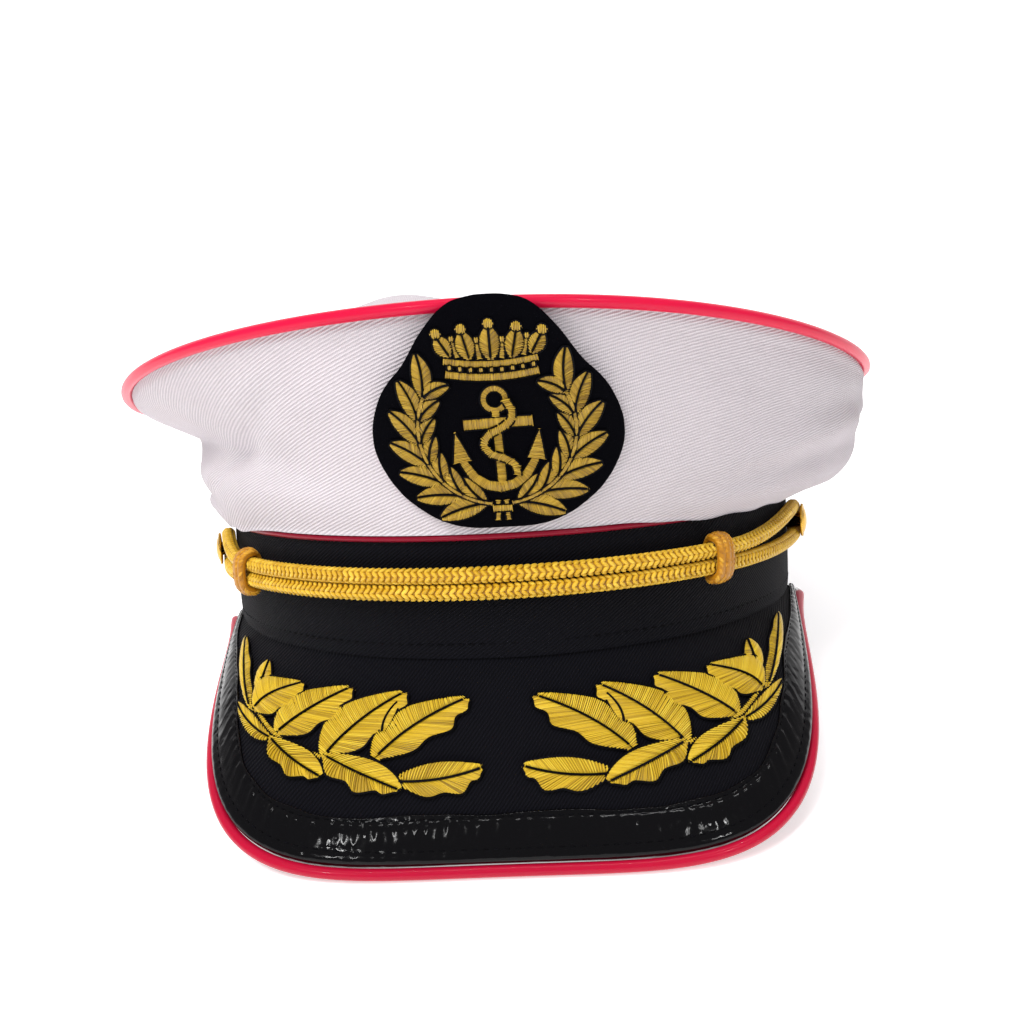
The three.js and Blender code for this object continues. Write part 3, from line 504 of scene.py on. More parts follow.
LOOKS = {
    # Woven cotton: matt, with slanted ribs drawn a little coarser than the real ones so they show; the grooves between
    # the ribs are painted darker as shade.
    "white_twill": twill("white_cotton_twill", "#e2dbdf", "#b8b0b6", 0.85, WHITE_SLANT, 0.3, sheen=0.1),
    "black_twill": twill("black_cotton_twill", "#0f0f16", "#030305", 0.8, BLACK_SLANT, 0.3, sheen=0.03),
    "visor_twill": twill("black_twill_on_visor", "#0e0e15", "#030305", 0.8, VISOR_SLANT, 0.3, sheen=0.03),
    # Calendered PVC: black and wet-looking, with small broken glints on its crinkles.
    "patent_pvc": patent("patent_pvc"),
    # Extruded PVC lit from one end: even red with a glow. The visor's and the seam's copies are painted darker and
    # glow less, as shade; the seam's, under the crown, most.
    "light_tube": lit_tube("red_light_tube", "#c01038", "#ff1c4c", 0.14),
    # Painted shade: a darker copy of the tube, with less glow, for the visor's edge.
    "light_tube_visor_shaded": lit_tube("shaded_visor_light_tube", "#a80e30", "#ff1840", 0.07),
    # Painted shade: the darkest copy of the tube, with the least glow, for the seam under the crown.
    "light_tube_seam_shaded": lit_tube("shaded_seam_light_tube", "#7c0c24", "#c0102c", 0.03),
    # Rayon yarn, braided or sewn in satin stitch: silky gold that changes tone from stitch to stitch.
    "gold_cord": thread_look("gold_rayon_braid", "#956408", "#d0a41c", "#f4cf48"),
    # Painted shade: the knots are the cord's own braid, given a darker copy of its colours.
    "gold_knot_shaded": thread_look("shaded_gold_knot_braid", "#7a4404", "#c88a14", "#f0c040"),
    "gold_thread": thread_look("gold_satin_thread", "#8f6f08", "#d0ac1e", "#e8cc3c"),
    "gold_badge": thread_look("old_gold_satin_thread", "#6e5214", "#b08c1e", "#d2ae38"),
    "black_thread": thread_look("black_sewing_thread", "#030304", "#060609", "#0c0c12", 0.7, 0.0, 0.08),
    # Stamped brass under lacquer, pressed felt, board, moulded ABS, plated steel and cast resin.
    "gold_metal": plain("lacquered_brass", "#d9a93a", 0.24, 1.0, 0.05),
    "black_felt": plain("pressed_black_felt", "#050509", 0.95, 0.0, 0.9, 4.0, spec=0.04),
    "stiffener_card": plain("grey_stiffening_board", "#2c2b2e", 0.85, 0.0, 0.5, 1.5),
    "sweatband_cloth": twill("sweatband_weave", "#26252e", "#111116", 0.9, 0.0, 0.15, False),
    "lining_cloth": twill("lining_weave", "#dedbe0", "#bdb9c2", 0.7, 0.0, 0.1, False),
    "black_plastic": plain("fine_textured_abs", "#1b1b1e", 0.45, 0.0, 0.4, 3.0),
    "cell_steel": plain("plated_steel", "#b9bcc0", 0.28, 1.0, 0.1, 0.6),
    "board_green": plain("solder_masked_board", "#1f6b3a", 0.4, 0.0, 0.1, 1.0, 0.4),
    "clear_resin": plain("clear_led_resin", "#e9e4e6", 0.12, 0.0, 0.02, 1.0, 0.6),
    "lead_insulation": plain("lead_insulation", "#161618", 0.5, 0.0, 0.1, 2.0),
}

for sub in frame["record"]["subparts"]:
    shown = NODES[sub["node"]]
    shown.data.materials.clear()
    shown.data.materials.append(LOOKS[sub["material_slot"]])


# ---- meshes --------------------------------------------------------------------------
def make(name, points, faces, look, slot, body="cap", stands_for=(), uv=None, tone=None):
    mesh = bpy.data.meshes.new(name)
    mesh.from_pydata(to_row(points).tolist(), [], [list(map(int, f)) for f in faces])
    mesh.update()
    if uv is not None:
        layer = mesh.uv_layers.new(name="cloth")
        index = np.empty(len(mesh.loops), int)
        mesh.loops.foreach_get("vertex_index", index)
        layer.data.foreach_set("uv", np.asarray(uv, float)[index].ravel())
    if tone is not None:
        mesh.attributes.new("tone", "FLOAT", "POINT").data.foreach_set("value", np.asarray(tone, float))
    mesh.polygons.foreach_set("use_smooth", [True] * len(mesh.polygons))
    mesh.materials.append(LOOKS[look])
    o = bpy.data.objects.new(name, mesh)
    bpy.context.scene.collection.objects.link(o)
    return place(o, body, slot, stands_for)


def place(o, body, slot, stands_for=()):
    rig.ride(o, body)
    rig.slot(o, slot)
    if stands_for:
        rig.replaces(o, *stands_for)
    return o


def sew_up(o):
    """Joins the points that lie on each other, which closes a ring's seam and a pole."""
    sewn = bmesh.new()
    sewn.from_mesh(o.data)
    bmesh.ops.remove_doubles(sewn, verts=sewn.verts, dist=1e-6)
    sewn.to_mesh(o.data)
    sewn.free()


def grid_faces(nu, nv, start=0, flip=False):
    i, j = np.meshgrid(np.arange(nu - 1), np.arange(nv - 1), indexing="ij")
    a = start + i * nv + j
    f = np.stack([a, a + nv, a + nv + 1, a + 1], -1).reshape(-1, 4)
    return f[:, ::-1] if flip else f


def shell(name, outer, inner, uv, look, slot, ring=False, pole=False, **more):
    """A sheet with its two faces and its edges; outer and inner are grids of points.

    A ring's last row lies on its first, and a pole's last column is one point."""
    nu, nv = outer.shape[:2]
    for grid in (outer, inner):
        if ring:
            grid[-1] = grid[0]
        if pole:
            grid[:, -1] = grid[0, -1]
    d1 = outer[nu // 2 + 1, nv // 2] - outer[nu // 2, nv // 2]
    d2 = outer[nu // 2, nv // 2 + 1] - outer[nu // 2, nv // 2]
    flip = np.dot(np.cross(d1, d2), outer[nu // 2, nv // 2] - inner[nu // 2, nv // 2]) < 0
    n = nu * nv
    ids = np.arange(n).reshape(nu, nv)
    edges = [ids[::-1, 0]] + ([] if pole else [ids[:, -1]])
    if not ring:
        edges += [ids[0], ids[-1, ::-1]]
    here = np.concatenate([e[:-1] for e in edges])
    there = np.concatenate([e[1:] for e in edges])
    side = np.stack([here, there, there + n, here + n], -1)
    if not flip:
        side = side[:, ::-1]
    faces = np.concatenate([grid_faces(nu, nv, 0, flip), grid_faces(nu, nv, n, not flip), side])
    points = np.concatenate([outer.reshape(-1, 3), inner.reshape(-1, 3)])
    uvs = np.concatenate([uv.reshape(-1, 2)] * 2)
    o = make(name, points, faces, look, slot, uv=uvs, **more)
    if ring:
        sew_up(o)
    return o


def cut_size(outer):
    """Width, length and area of the flat cut of a panel, in metres."""
    du, dv = np.diff(outer, axis=0) / 1000, np.diff(outer, axis=1) / 1000
    cover = np.linalg.norm(np.cross(du[:, :-1], dv[:-1]), axis=-1).sum()
    wide = np.linalg.norm(du, axis=-1).sum(0).max()
    deep = np.linalg.norm(dv, axis=-1).sum(1).max()
    return dict(flat=(float(wide), float(deep)), area=float(cover), held="stretched")


def lengths(path):
    step = np.linalg.norm(np.diff(path, axis=0), axis=1)
    return np.concatenate([[0], np.cumsum(step)])


def resample(path, count):
    s = lengths(path)
    at = np.linspace(0, s[-1], count)
    return np.stack([np.interp(at, s, path[:, k]) for k in range(3)], -1)


def tangents(path, ring):
    if ring:
        return unit(np.roll(path, -1, 0) - np.roll(path, 1, 0))
    return unit(np.gradient(path, axis=0))


def tube(path, radius, sides, ring, up):
    """Points and faces of a bar along a path; up gives the side the section is set by."""
    t = tangents(path, ring)
    a = unit(np.cross(t, up))
    b = np.cross(a, t)
    w = np.arange(sides) / sides * 2 * np.pi
    r = np.broadcast_to(np.asarray(radius, float), (len(path),))[:, None, None]
    spoke = a[:, None] * np.cos(w)[None, :, None] + b[:, None] * np.sin(w)[None, :, None]
    p = path[:, None] + r * spoke
    n = len(path)
    rows = n if ring else n - 1
    i, j = np.meshgrid(np.arange(rows), np.arange(sides), indexing="ij")
    f = np.stack([i * sides + j, (i + 1) % n * sides + j, (i + 1) % n * sides + (j + 1) % sides,
                  i * sides + (j + 1) % sides], -1).reshape(-1, 4).tolist()
    if not ring:
        f.append(list(range(sides)))
        f.append(list(range((n - 1) * sides, n * sides))[::-1])
    return p.reshape(-1, 3), f


# ---- geometry node groups: threads along lines, and small pieces set on points ------------
def group(name, inputs):
    g = bpy.data.node_groups.new(name, "GeometryNodeTree")
    g.interface.new_socket("Geometry", in_out="INPUT", socket_type="NodeSocketGeometry")
    ids = {}
    for label, kind in inputs:
        ids[label] = g.interface.new_socket(label, in_out="INPUT", socket_type=kind).identifier
    g.interface.new_socket("Geometry", in_out="OUTPUT", socket_type="NodeSocketGeometry")
    return g, ids, put(g, "NodeGroupInput"), put(g, "NodeGroupOutput")


def finish_group(g, source, geometry):
    real = put(g, "GeometryNodeRealizeInstances", {"Geometry": geometry}).outputs[0]
    smoothed = put(g, "GeometryNodeSetShadeSmooth", {"Geometry": real}).outputs[0]
    done = put(g, "GeometryNodeSetMaterial", {"Geometry": smoothed, "Material": source.outputs["Look"]})
    g.links.new(done.outputs[0], g.nodes["Group Output"].inputs[0])


def thread_group():
    """Every line of the mesh becomes a round thread."""
    g, ids, src, _ = group("threads_on_lines", [
        ("Radius", "NodeSocketFloat"), ("Sides", "NodeSocketInt"), ("Look", "NodeSocketMaterial"),
    ])
    curve = put(g, "GeometryNodeMeshToCurve", {"Mesh": src.outputs["Geometry"]}).outputs[0]
    ring = put(g, "GeometryNodeCurvePrimitiveCircle", {
        "Resolution": src.outputs["Sides"], "Radius": src.outputs["Radius"],
    }).outputs[0]
    made = put(g, "GeometryNodeCurveToMesh", {"Curve": curve, "Profile Curve": ring})
    made.inputs["Fill Caps"].default_value = True
    finish_group(g, src, made.outputs[0])
    return g, ids


def piece_group():
    """Every point of the mesh gets a rounded float of yarn, turned and sized by attributes."""
    g, ids, src, _ = group("floats_on_points", [
        ("Segments", "NodeSocketInt"), ("Rings", "NodeSocketInt"), ("Look", "NodeSocketMaterial"),
    ])
    ball = put(g, "GeometryNodeMeshUVSphere", {
        "Segments": src.outputs["Segments"], "Rings": src.outputs["Rings"], "Radius": 0.5,
    }).outputs[0]
    turn = put(g, "GeometryNodeInputNamedAttribute", {"Name": "turn"}, data_type="FLOAT_VECTOR")
    size = put(g, "GeometryNodeInputNamedAttribute", {"Name": "size"}, data_type="FLOAT_VECTOR")
    rot = put(g, "FunctionNodeEulerToRotation", {"Euler": turn.outputs["Attribute"]}).outputs[0]
    set_on = put(g, "GeometryNodeInstanceOnPoints", {
        "Points": src.outputs["Geometry"], "Instance": ball, "Rotation": rot,
        "Scale": size.outputs["Attribute"],
    }).outputs[0]
    finish_group(g, src, set_on)
    return g, ids


THREADS, THREAD_IDS = thread_group()
FLOATS, FLOAT_IDS = piece_group()


def grown(name, mesh, node_group, ids, values, body, slot, stands_for=()):
    """Runs a node group on a guide mesh and keeps only the mesh it makes."""
    guide = bpy.data.objects.new(name + "_guide", mesh)
    bpy.context.scene.collection.objects.link(guide)
    mod = guide.modifiers.new("grow", "NODES")
    mod.node_group = node_group
    for label, value in values.items():
        mod[ids[label]] = value
    bpy.context.view_layer.update()
    made = bpy.data.meshes.new_from_object(guide.evaluated_get(bpy.context.evaluated_depsgraph_get()))
    made.name = name
    guide.modifiers.clear()
    bpy.data.objects.remove(guide)
    o = bpy.data.objects.new(name, made)
    bpy.context.scene.collection.objects.link(o)
    return place(o, body, slot, stands_for)


def threads(name, lines, tones, radius, look, slot, body="cap", stands_for=(), sides=5):
    """lines: arrays of points in cap millimetres, each one thread."""
    points = np.concatenate(lines)
    count = np.array([len(a) for a in lines])
    start = np.concatenate([[0], np.cumsum(count)[:-1]])
    steps = [np.arange(n - 1) + first for first, n in zip(start, count)]
    edges = np.concatenate([np.stack([a, a + 1], -1) for a in steps])
    mesh = bpy.data.meshes.new(name + "_lines")
    mesh.from_pydata(to_row(points).tolist(), edges.tolist(), [])
    tone = np.repeat(tones, count).astype(float)
    mesh.attributes.new("tone", "FLOAT", "POINT").data.foreach_set("value", tone)
    values = {"Radius": radius / 1000, "Sides": sides, "Look": LOOKS[look]}
    return grown(name, mesh, THREADS, THREAD_IDS, values, body, slot, stands_for)


def floats(name, points, along, out, sizes, tones, look, slot, body="cap", segments=8, rings=5):
    """Rounded floats of yarn: points in cap mm, long side `along`, raised side `out`."""
    along, out = np.asarray(along), np.asarray(out)
    turn3 = ROW[:3, :3]
    euler = []
    for a, o in zip(along @ turn3.T, out @ turn3.T):
        x = Vector(a).normalized()
        y = Vector(o).cross(x).normalized()
        z = x.cross(y)
        euler.append(Matrix((x, y, z)).transposed().to_euler())
    mesh = bpy.data.meshes.new(name + "_points")
    mesh.from_pydata(to_row(points).tolist(), [], [])
    mesh.attributes.new("turn", "FLOAT_VECTOR", "POINT").data.foreach_set("vector", np.array(euler).ravel())
    sizes = np.tile(np.asarray(sizes, float) / 1000, (len(points), 1))
    mesh.attributes.new("size", "FLOAT_VECTOR", "POINT").data.foreach_set("vector", sizes.ravel())
    mesh.attributes.new("tone", "FLOAT", "POINT").data.foreach_set("value", np.asarray(tones, float))
    values = {"Segments": segments, "Rings": rings, "Look": LOOKS[look]}
    return grown(name, mesh, FLOATS, FLOAT_IDS, values, body, slot)


# ---- crown ---------------------------------------------------------------------------
CLOTH_T = 1.0
WALL_R = 108.0               # turns an angle round the wall to millimetres of cloth


def side_panel(name, from_deg, to_deg, steps, node):
    round_it = np.radians(np.linspace(from_deg, to_deg, steps))
    t, v = np.meshgrid(round_it, np.linspace(0, 1, 40), indexing="ij")
    welt = 0.55 * np.exp(-(((v - 0.955) / 0.03) ** 2))
    outer = wall(t, v, welt)
    inner = wall(t, v, -CLOTH_T + 0 * t)
    uv = stack(t * WALL_R, v * WALL_RISE)
    o = shell(name, outer, inner, uv, "white_twill", "white_twill", stands_for=[node])
    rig.sheet(o, **cut_size(outer))


side_panel("crown_front_panel", -90.3, 90.3, 260, "crown_side_front")
side_panel("crown_back_panel", 89.7, 270.3, 160, "crown_side_back")


def top_height(t, k):
    edge = rim(t, 0 * t, 0.9)[..., 2]
    # The cloth stands up a little behind the rim, beside the badge.
    puff = 5.4 * np.exp(-(((k - 0.86) / 0.08) ** 2)) * np.exp(-(((np.degrees(t) + 11) / 9) ** 2))
    sag = -1.6 * np.exp(-(((k - 0.55) / 0.25) ** 2)) * (0.5 + 0.5 * np.cos(2 * t + 0.6))
    return lerp(73.0, edge, k ** 1.6) + 3.5 * (1 - k ** 4) + puff + sag


def crown_top():
    t, k = np.meshgrid(np.linspace(-np.pi, np.pi, 200), np.linspace(1, 0, 44), indexing="ij")
    e = rim(t, RIM_TUBE_R - 0.35, 0 * t)
    z = top_height(t, k)
    outer = stack(e[..., 0] * k, RIM_Y + (e[..., 1] - RIM_Y) * k, z + 0.2)
    inner = outer - stack(0 * t, 0 * t, 0 * t + CLOTH_T)
    uv = stack(outer[..., 0], outer[..., 1])
    o = shell("crown_top_panel", outer, inner, uv, "white_twill", "white_twill", ring=True, pole=True,
              stands_for=["crown_top"])
    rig.sheet(o, flat=(0.238, 0.248), area=cut_size(outer)["area"], held="stretched")


crown_top()


def ring_tube(name, at, radius, look, node, steps):
    t = np.linspace(0, 2 * np.pi, steps, endpoint=False)
    path = at(t)
    p, f = tube(path, radius, 14, True, np.array([0, 0, 1.0]))
    make(name, p, f, look, "light_tube", stands_for=[node])


ring_tube("rim_light_tube", lambda t: rim(t, 0 * t, 0 * t), RIM_TUBE_R, "light_tube",
          "crown_light_tube", 300)
# The seam's tube takes the darkest copy of the tube's look: painted shade under the crown.
ring_tube("seam_light_tube", lambda t: oval(t, 0.1 + 0 * t, SEAM_Z - 0.5), SEAM_TUBE_R - 0.35,
          "light_tube_seam_shaded", "band_light_tube", 240)


# ---- band ------------------------------------------------------------------------------
def band():
    t = np.linspace(-np.pi, np.pi, 260)
    z = np.linspace(BAND_LOW, BAND_TOP, 27)
    tt, zz = np.meshgrid(t, z, indexing="ij")
    soft = 0.35 * np.sin(tt * 5 + 1) * np.sin(np.pi * zz / BAND_TOP) + 0.25 * np.sin(tt * 13)
    roll = -0.5 * np.exp(-(((zz - BAND_LOW) / 0.9) ** 2)) - 0.5 * np.exp(-(((zz - BAND_TOP) / 1.2) ** 2))
    seam = -0.28 * np.exp(-(((zz - BAND_STITCH_Z) / 0.5) ** 2))
    outer = oval(tt, soft * 0.5 + roll + seam, zz)
    inner = oval(tt, -1.3 + 0 * tt, zz)
    uv = stack(tt * 96, zz)
    o = shell("band_cloth", outer, inner, uv, "black_twill", "black_twill", ring=True,
              stands_for=["band_cover"])
    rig.sheet(o, **cut_size(outer))


band()


def stitch_row(name, path, out, pitch, length, width, look, slot, lift=0.0):
    """A row of separate stitches along a path of dense points."""
    s = lengths(path)
    at = np.arange(pitch / 2, s[-1], pitch)
    p = np.stack([np.interp(at, s, path[:, k]) for k in range(3)], -1)
    o = unit(np.stack([np.interp(at, s, out[:, k]) for k in range(3)], -1))
    ahead = np.stack([np.interp(at + 0.2, s, path[:, k]) for k in range(3)], -1)
    return floats(name, p + o * lift, unit(ahead - p + 1e-6), o, (length, width, width),
                  RNG.uniform(0.2, 0.9, len(at)), look, slot, segments=6, rings=4)


def band_stitches():
    t = np.linspace(-np.pi, np.pi, 700)
    out = oval(t, 1 + 0 * t, 0) - oval(t, 0 * t, 0)
    stitch_row("band_stitches", oval(t, -0.12 + 0 * t, BAND_STITCH_Z), out, 2.7, 1.9, 0.42,
               "black_thread", "black_twill")


band_stitches()


# ---- visor -----------------------------------------------------------------------------
VISOR_CLOTH_T = 0.6


def visor_skin(name, top, node, rows):
    """One cloth of the visor; its back edge is tucked in behind the band."""
    k, v = np.meshgrid(np.linspace(0, 1, 150), np.linspace(-0.035, 1, rows), indexing="ij")
    u = visor_u(k)
    outer = visor(u, v, top + 0 * u)
    inner = visor(u, v, top - VISOR_CLOTH_T + 0 * u)
    uv = stack(outer[..., 0], np.linalg.norm(outer - visor(u, 0 * v, top + 0 * u), axis=-1))
    o = shell(name, outer, inner, uv, "visor_twill", "black_twill", stands_for=[node])
    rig.sheet(o, **cut_size(outer))


visor_skin("visor_top_cloth", 0.0, "visor_cover", 40)
visor_skin("visor_under_cloth", VISOR_UNDER + VISOR_CLOTH_T, "visor_lining", 24)


def binding():
    n = 520
    u = visor_u(np.linspace(0, 1, n))
    p, nn, o, t, deep, square = edge_frame(u)
    s = lengths(p)
    reach = np.minimum(BINDING_W / (deep * np.maximum(square, 0.35)), 0.5)
    # Puckers: the PVC is drawn in at each stitch and stands up between, most at the corners.
    corner = np.exp(-(((np.abs(u) - 0.5) / 0.16) ** 2))
    middle = 0.16 * np.exp(-(((u + 0.13) / 0.06) ** 2)) + 0.12 * np.exp(-(((u - 0.2) / 0.05) ** 2))
    grow = 0.10 + 0.42 * corner + middle
    wob = np.sin(s * 2 * np.pi / 4.3 + 1.3 * np.sin(s / 9)) * 0.5 + np.sin(s * 2 * np.pi / 2.5 + 0.7) * 0.5

    def leg(k, off, amp=0.0):
        q = visor(u, 1 - reach * k, 0 * u + off)
        return q + nn * (amp * grow * wob)[:, None]

    def nose(a, b):
        return p + o * a + nn * b

    wavy = 1 + 0.045 * grow * np.sin(s / 2.3) + 0.03 * np.sin(s / 5.7)
    rows = [
        visor(u, 1 - reach * wavy, 0 * u + 0.12),
        visor(u, 1 - reach * wavy * 0.985, 0 * u + 0.52),
        visor(u, 1 - reach * wavy * 0.955, 0 * u + 0.66),
        leg(0.90, 0.30, 0.10),
        leg(0.84, 0.60, 0.50),
        leg(0.76, 0.82, 0.60),
        leg(0.62, 0.92, 0.34),
        leg(0.45, 0.92, 0.20),
        leg(0.28, 0.86, 0.06),
        leg(0.20, 0.62, 0.0),
        leg(0.13, 0.86, 0.10),
        leg(0.05, 0.86, 0.0),
        nose(0.25, 0.70),
        nose(0.75, 0.10),
        nose(0.95, -0.8),
        nose(0.95, VISOR_UNDER + 0.8),
        nose(0.75, VISOR_UNDER - 0.1),
        nose(0.1, VISOR_UNDER - 0.7),
        leg(0.4, VISOR_UNDER - 0.75),
        leg(0.8, VISOR_UNDER - 0.7),
        leg(1.0, VISOR_UNDER - 0.6),
        leg(1.0, VISOR_UNDER - 0.15),
    ]
    outer = np.stack(rows, 1)
    m = outer.shape[1]
    faces = grid_faces(n, m)
    mid = (n // 2) * m + 7
    a, b, c = outer.reshape(-1, 3)[[mid, mid + m, mid + 1]]
    if np.dot(np.cross(b - a, c - a), nn[n // 2]) < 0:
        faces = faces[:, ::-1]
    make("visor_binding_pvc", outer.reshape(-1, 3), faces, "patent_pvc", "patent_pvc",
         stands_for=["visor_binding"])
    stitch_row("binding_inner_stitches", visor(u, 1 - reach * 0.90, 0 * u + 0.34), nn, 2.4, 1.5, 0.36,
               "black_thread", "patent_pvc", 0.1)
    stitch_row("binding_outer_stitches", visor(u, 1 - reach * 0.20, 0 * u + 0.66), nn, 2.6, 1.5, 0.34,
               "black_thread", "patent_pvc", 0.1)
    # The visor's tube takes a darker copy of the tube's look: painted shade.
    line = p + o * (0.9 + 0.25 + VISOR_TUBE_R) + nn * (VISOR_UNDER / 2)
    q, f = tube(line, VISOR_TUBE_R, 14, False, np.array([0, 0, 1.0]))
    make("visor_edge_light_tube", q, f, "light_tube_visor_shaded", "light_tube", stands_for=["visor_light_tube"])


binding()


# ---- satin embroidery ---------------------------------------------------------------------
class Satin:
    """Collects gold stitches and black outline threads of one motif."""

    def __init__(self, at, pitch, radius):
        self.at, self.pitch, self.radius = at, pitch, radius
        self.gold, self.tones, self.dark, self.under = [], [], [], []

    def run(self, left, right, lift, arch, tone=0.5):
        """Stitches from the left line to the right line, both (n, 2), evenly spaced."""
        inset = np.array([0.06, 0.5, 0.94])
        flat = left[:, None] + (right - left)[:, None] * inset[:, None]
        self.under.append(self.at(flat[..., 0], flat[..., 1], lift + arch * np.array([0.1, 0.55, 0.1])))
        for a, b in zip(left, right):
            wide = np.hypot(*(b - a))
            if wide < 0.25:
                continue
            a = a + RNG.normal(0, 0.05, 2)
            b = b + RNG.normal(0, 0.05, 2)
            k = np.array([0, 0.22, 0.5, 0.78, 1])
            xy = a + (b - a) * k[:, None]
            high = lift + arch * min(1, wide / 2.5) * np.sqrt(np.clip(1 - (2 * k - 1) ** 2, 0, 1))
            self.gold.append(self.at(xy[:, 0], xy[:, 1], high))
            self.tones.append(np.clip(tone + RNG.normal(0, 0.16), 0, 1))

    def outline(self, line, lift):
        line = np.asarray(line)
        self.dark.append(self.at(line[:, 0], line[:, 1], lift + 0 * line[:, 0]))

    # A leaf is two rows of slanted stitches either side of a black midrib; one row is painted a little lighter and the
    # other a little darker, as light and shade on the two slants.
    def leaf(self, base, tip, width, bend, lift, wavy=0.0, slant=0.32, tone=0.5, fat=0.8):
        base, tip = np.array(base, float), np.array(tip, float)
        d = tip - base
        size = np.hypot(*d)
        along = d / size
        across = np.array([-along[1], along[0]])
        n = max(6, int(size / self.pitch))
        k = np.linspace(0.0, 1.0, n)

        def mid(q):
            return base + along * (q * size)[:, None] + across * (bend * 4 * q * (1 - q))[:, None]

        def half(q):
            return np.maximum(0.12, width / 2 * np.sin(np.pi * (0.05 + 0.9 * np.clip(q, 0, 1))) ** fat)

        edges = []
        for side in (-1, 1):
            wave = 1 + wavy * np.sin(k * 2 * np.pi * 3 + side) * (side < 0)
            q = np.clip(k + slant * width / size * np.sin(np.pi * k), 0, 1)
            edge = mid(q) + side * across * (half(q) * wave)[:, None]
            inner = mid(k) + side * across * 0.16
            # Painted light and shade: one row's tone is raised and the other's lowered.
            self.run(inner, edge, lift, 0.55, tone + side * 0.10)
            edges.append(edge)
        self.outline(mid(np.linspace(0.04, 0.97, 14)), lift + 0.45)
        self.outline(np.concatenate([edges[0], edges[1][::-1]]), lift + 0.12)

    def stroke(self, line, width, lift, slant=0.0, tone=0.5, arch=0.6):
        line = np.asarray(line, float)
        s = np.concatenate([[0], np.cumsum(np.hypot(*np.diff(line, axis=0).T))])
        n = max(3, int(s[-1] / self.pitch))
        at = np.linspace(0, s[-1], n)
        p = np.stack([np.interp(at, s, line[:, i]) for i in (0, 1)], -1)
        d = np.gradient(p, axis=0)
        d = d / np.maximum(np.hypot(d[:, 0], d[:, 1])[:, None], 1e-9)
        across = np.stack([-d[:, 1], d[:, 0]], -1)
        widths = np.atleast_1d(width)
        w = np.interp(np.linspace(0, 1, n), np.linspace(0, 1, len(widths)), widths)
        left = p - across * w[:, None] / 2 - d * slant
        right = p + across * w[:, None] / 2 + d * slant
        self.run(left, right, lift, arch, tone)
        self.outline(left, lift + 0.1)
        self.outline(right, lift + 0.1)

    def dot(self, x, y, r, lift, tone=0.6):
        q = np.linspace(-0.95, 0.95, max(4, int(2 * r / self.pitch)))
        h = r * np.sqrt(1 - q ** 2)
        self.run(np.stack([x + q * r, y - h], -1), np.stack([x + q * r, y + h], -1), lift, 0.7, tone)
        w = np.linspace(0, 2 * np.pi, 13)
        self.outline(np.stack([x + r * np.cos(w), y + r * np.sin(w)], -1), lift + 0.1)

    def sew(self, name, look, slot, stands_for):
        """Makes the motif: its stitches, the padding under them and its outline threads."""
        threads(name, self.gold, np.array(self.tones), self.radius, look, slot, stands_for=stands_for)
        here = np.array([0.0])
        up = (self.at(here, here, here + 1) - self.at(here, here, here))[0]
        points, faces = [], []
        for g in self.under:
            n = sum(len(a) for a in points)
            f = grid_faces(*g.shape[:2], n)
            turn = np.cross(g[1, 0] - g[0, 0], g[0, 1] - g[0, 0]) @ up
            points.append(g.reshape(-1, 3))
            faces.append(f if turn > 0 else f[:, ::-1])
        # Painted shade: the padding shows in the gaps between the stitches and takes a darker tone than they do.
        tone = np.full(sum(len(a) for a in points), 0.3)
        make(name + "_padding", np.concatenate(points), np.concatenate(faces), look, slot, tone=tone)
        tone = RNG.uniform(0, 1, len(self.dark))
        threads(name + "_outline", self.dark, tone, self.radius * 1.8, "black_thread", "black_twill", sides=4)


# Leaf spray on the visor: base and tip in hundredths of the visor's half width and depth,
# then width, bend and lift in mm, and how wavy the lower edge is.
SPRAY_W, SPRAY_D = 90.0, 62.0
SPRAY_MM = (SPRAY_W / 100, SPRAY_D / 100)
SPRAY = [
    ((21, 66), (4, 60), 10.3, -1.2, 0.5, 0.17),
    ((25, 55), (7, 24), 11.4, 1.5, 0.5, 0.14),
    ((35, 56), (20, 21), 11.4, 1.5, 0.6, 0.14),
    ((46, 52), (32, 20), 10.8, 1.5, 0.6, 0.14),
    ((54, 50), (44, 22), 10.3, 2, 0.7, 0.10),
    ((55, 52), (74, 20), 9.1, 2, 0.6, 0.10),
    ((55, 44), (57, 18), 5.7, 0, 0.5, 0.00),
    ((47, 56), (60, 60), 6.8, 0, 0.5, 0.00),
    ((47, 56), (35, 66), 9.1, 0, 0.7, 0.20),
    ((35, 56), (20, 70), 9.1, 0, 0.8, 0.20),
]


def spray(side, name, node):
    def at(x, y, off):
        return visor(side * x / SPRAY_W, y / SPRAY_D, off)

    sat = Satin(at, 0.42, 0.2)
    for base, tip, width, bend, lift, wavy in SPRAY:
        sat.leaf(np.multiply(base, SPRAY_MM), np.multiply(tip, SPRAY_MM), width, bend, lift, wavy)
    sat.leaf(np.multiply((24, 43), SPRAY_MM), np.multiply((21, 26), SPRAY_MM), 3.0, 0.8, 0.75, slant=0.1)
    sat.stroke(np.multiply([(20, 65), (33, 58), (45, 54), (55, 48)], SPRAY_MM), 1.8, 0.5)
    sat.sew(name, "gold_thread", "gold_thread", [node])


spray(-1, "visor_spray_left", "visor_embroidery_left")
spray(1, "visor_spray_right", "visor_embroidery_right")


# ---- badge -----------------------------------------------------------------------------
# Half of the felt's outline from top to bottom: height and half width, mm.
BADGE_SHAPE = np.array([
    (28.3, 3), (27.4, 8), (25.5, 11), (23.5, 13), (19.5, 16.5), (15, 19.5), (12.5, 21.5), (10, 24.5),
    (7, 27), (3, 29), (-1, 30.3), (-6, 30.5), (-10, 29.5), (-15, 27.2), (-19.5, 24), (-23, 20),
    (-25.5, 16.5), (-27.4, 12), (-28.3, 7),
])
FELT_T = 1.3
MOTIF_OFF = FELT_T + 0.05


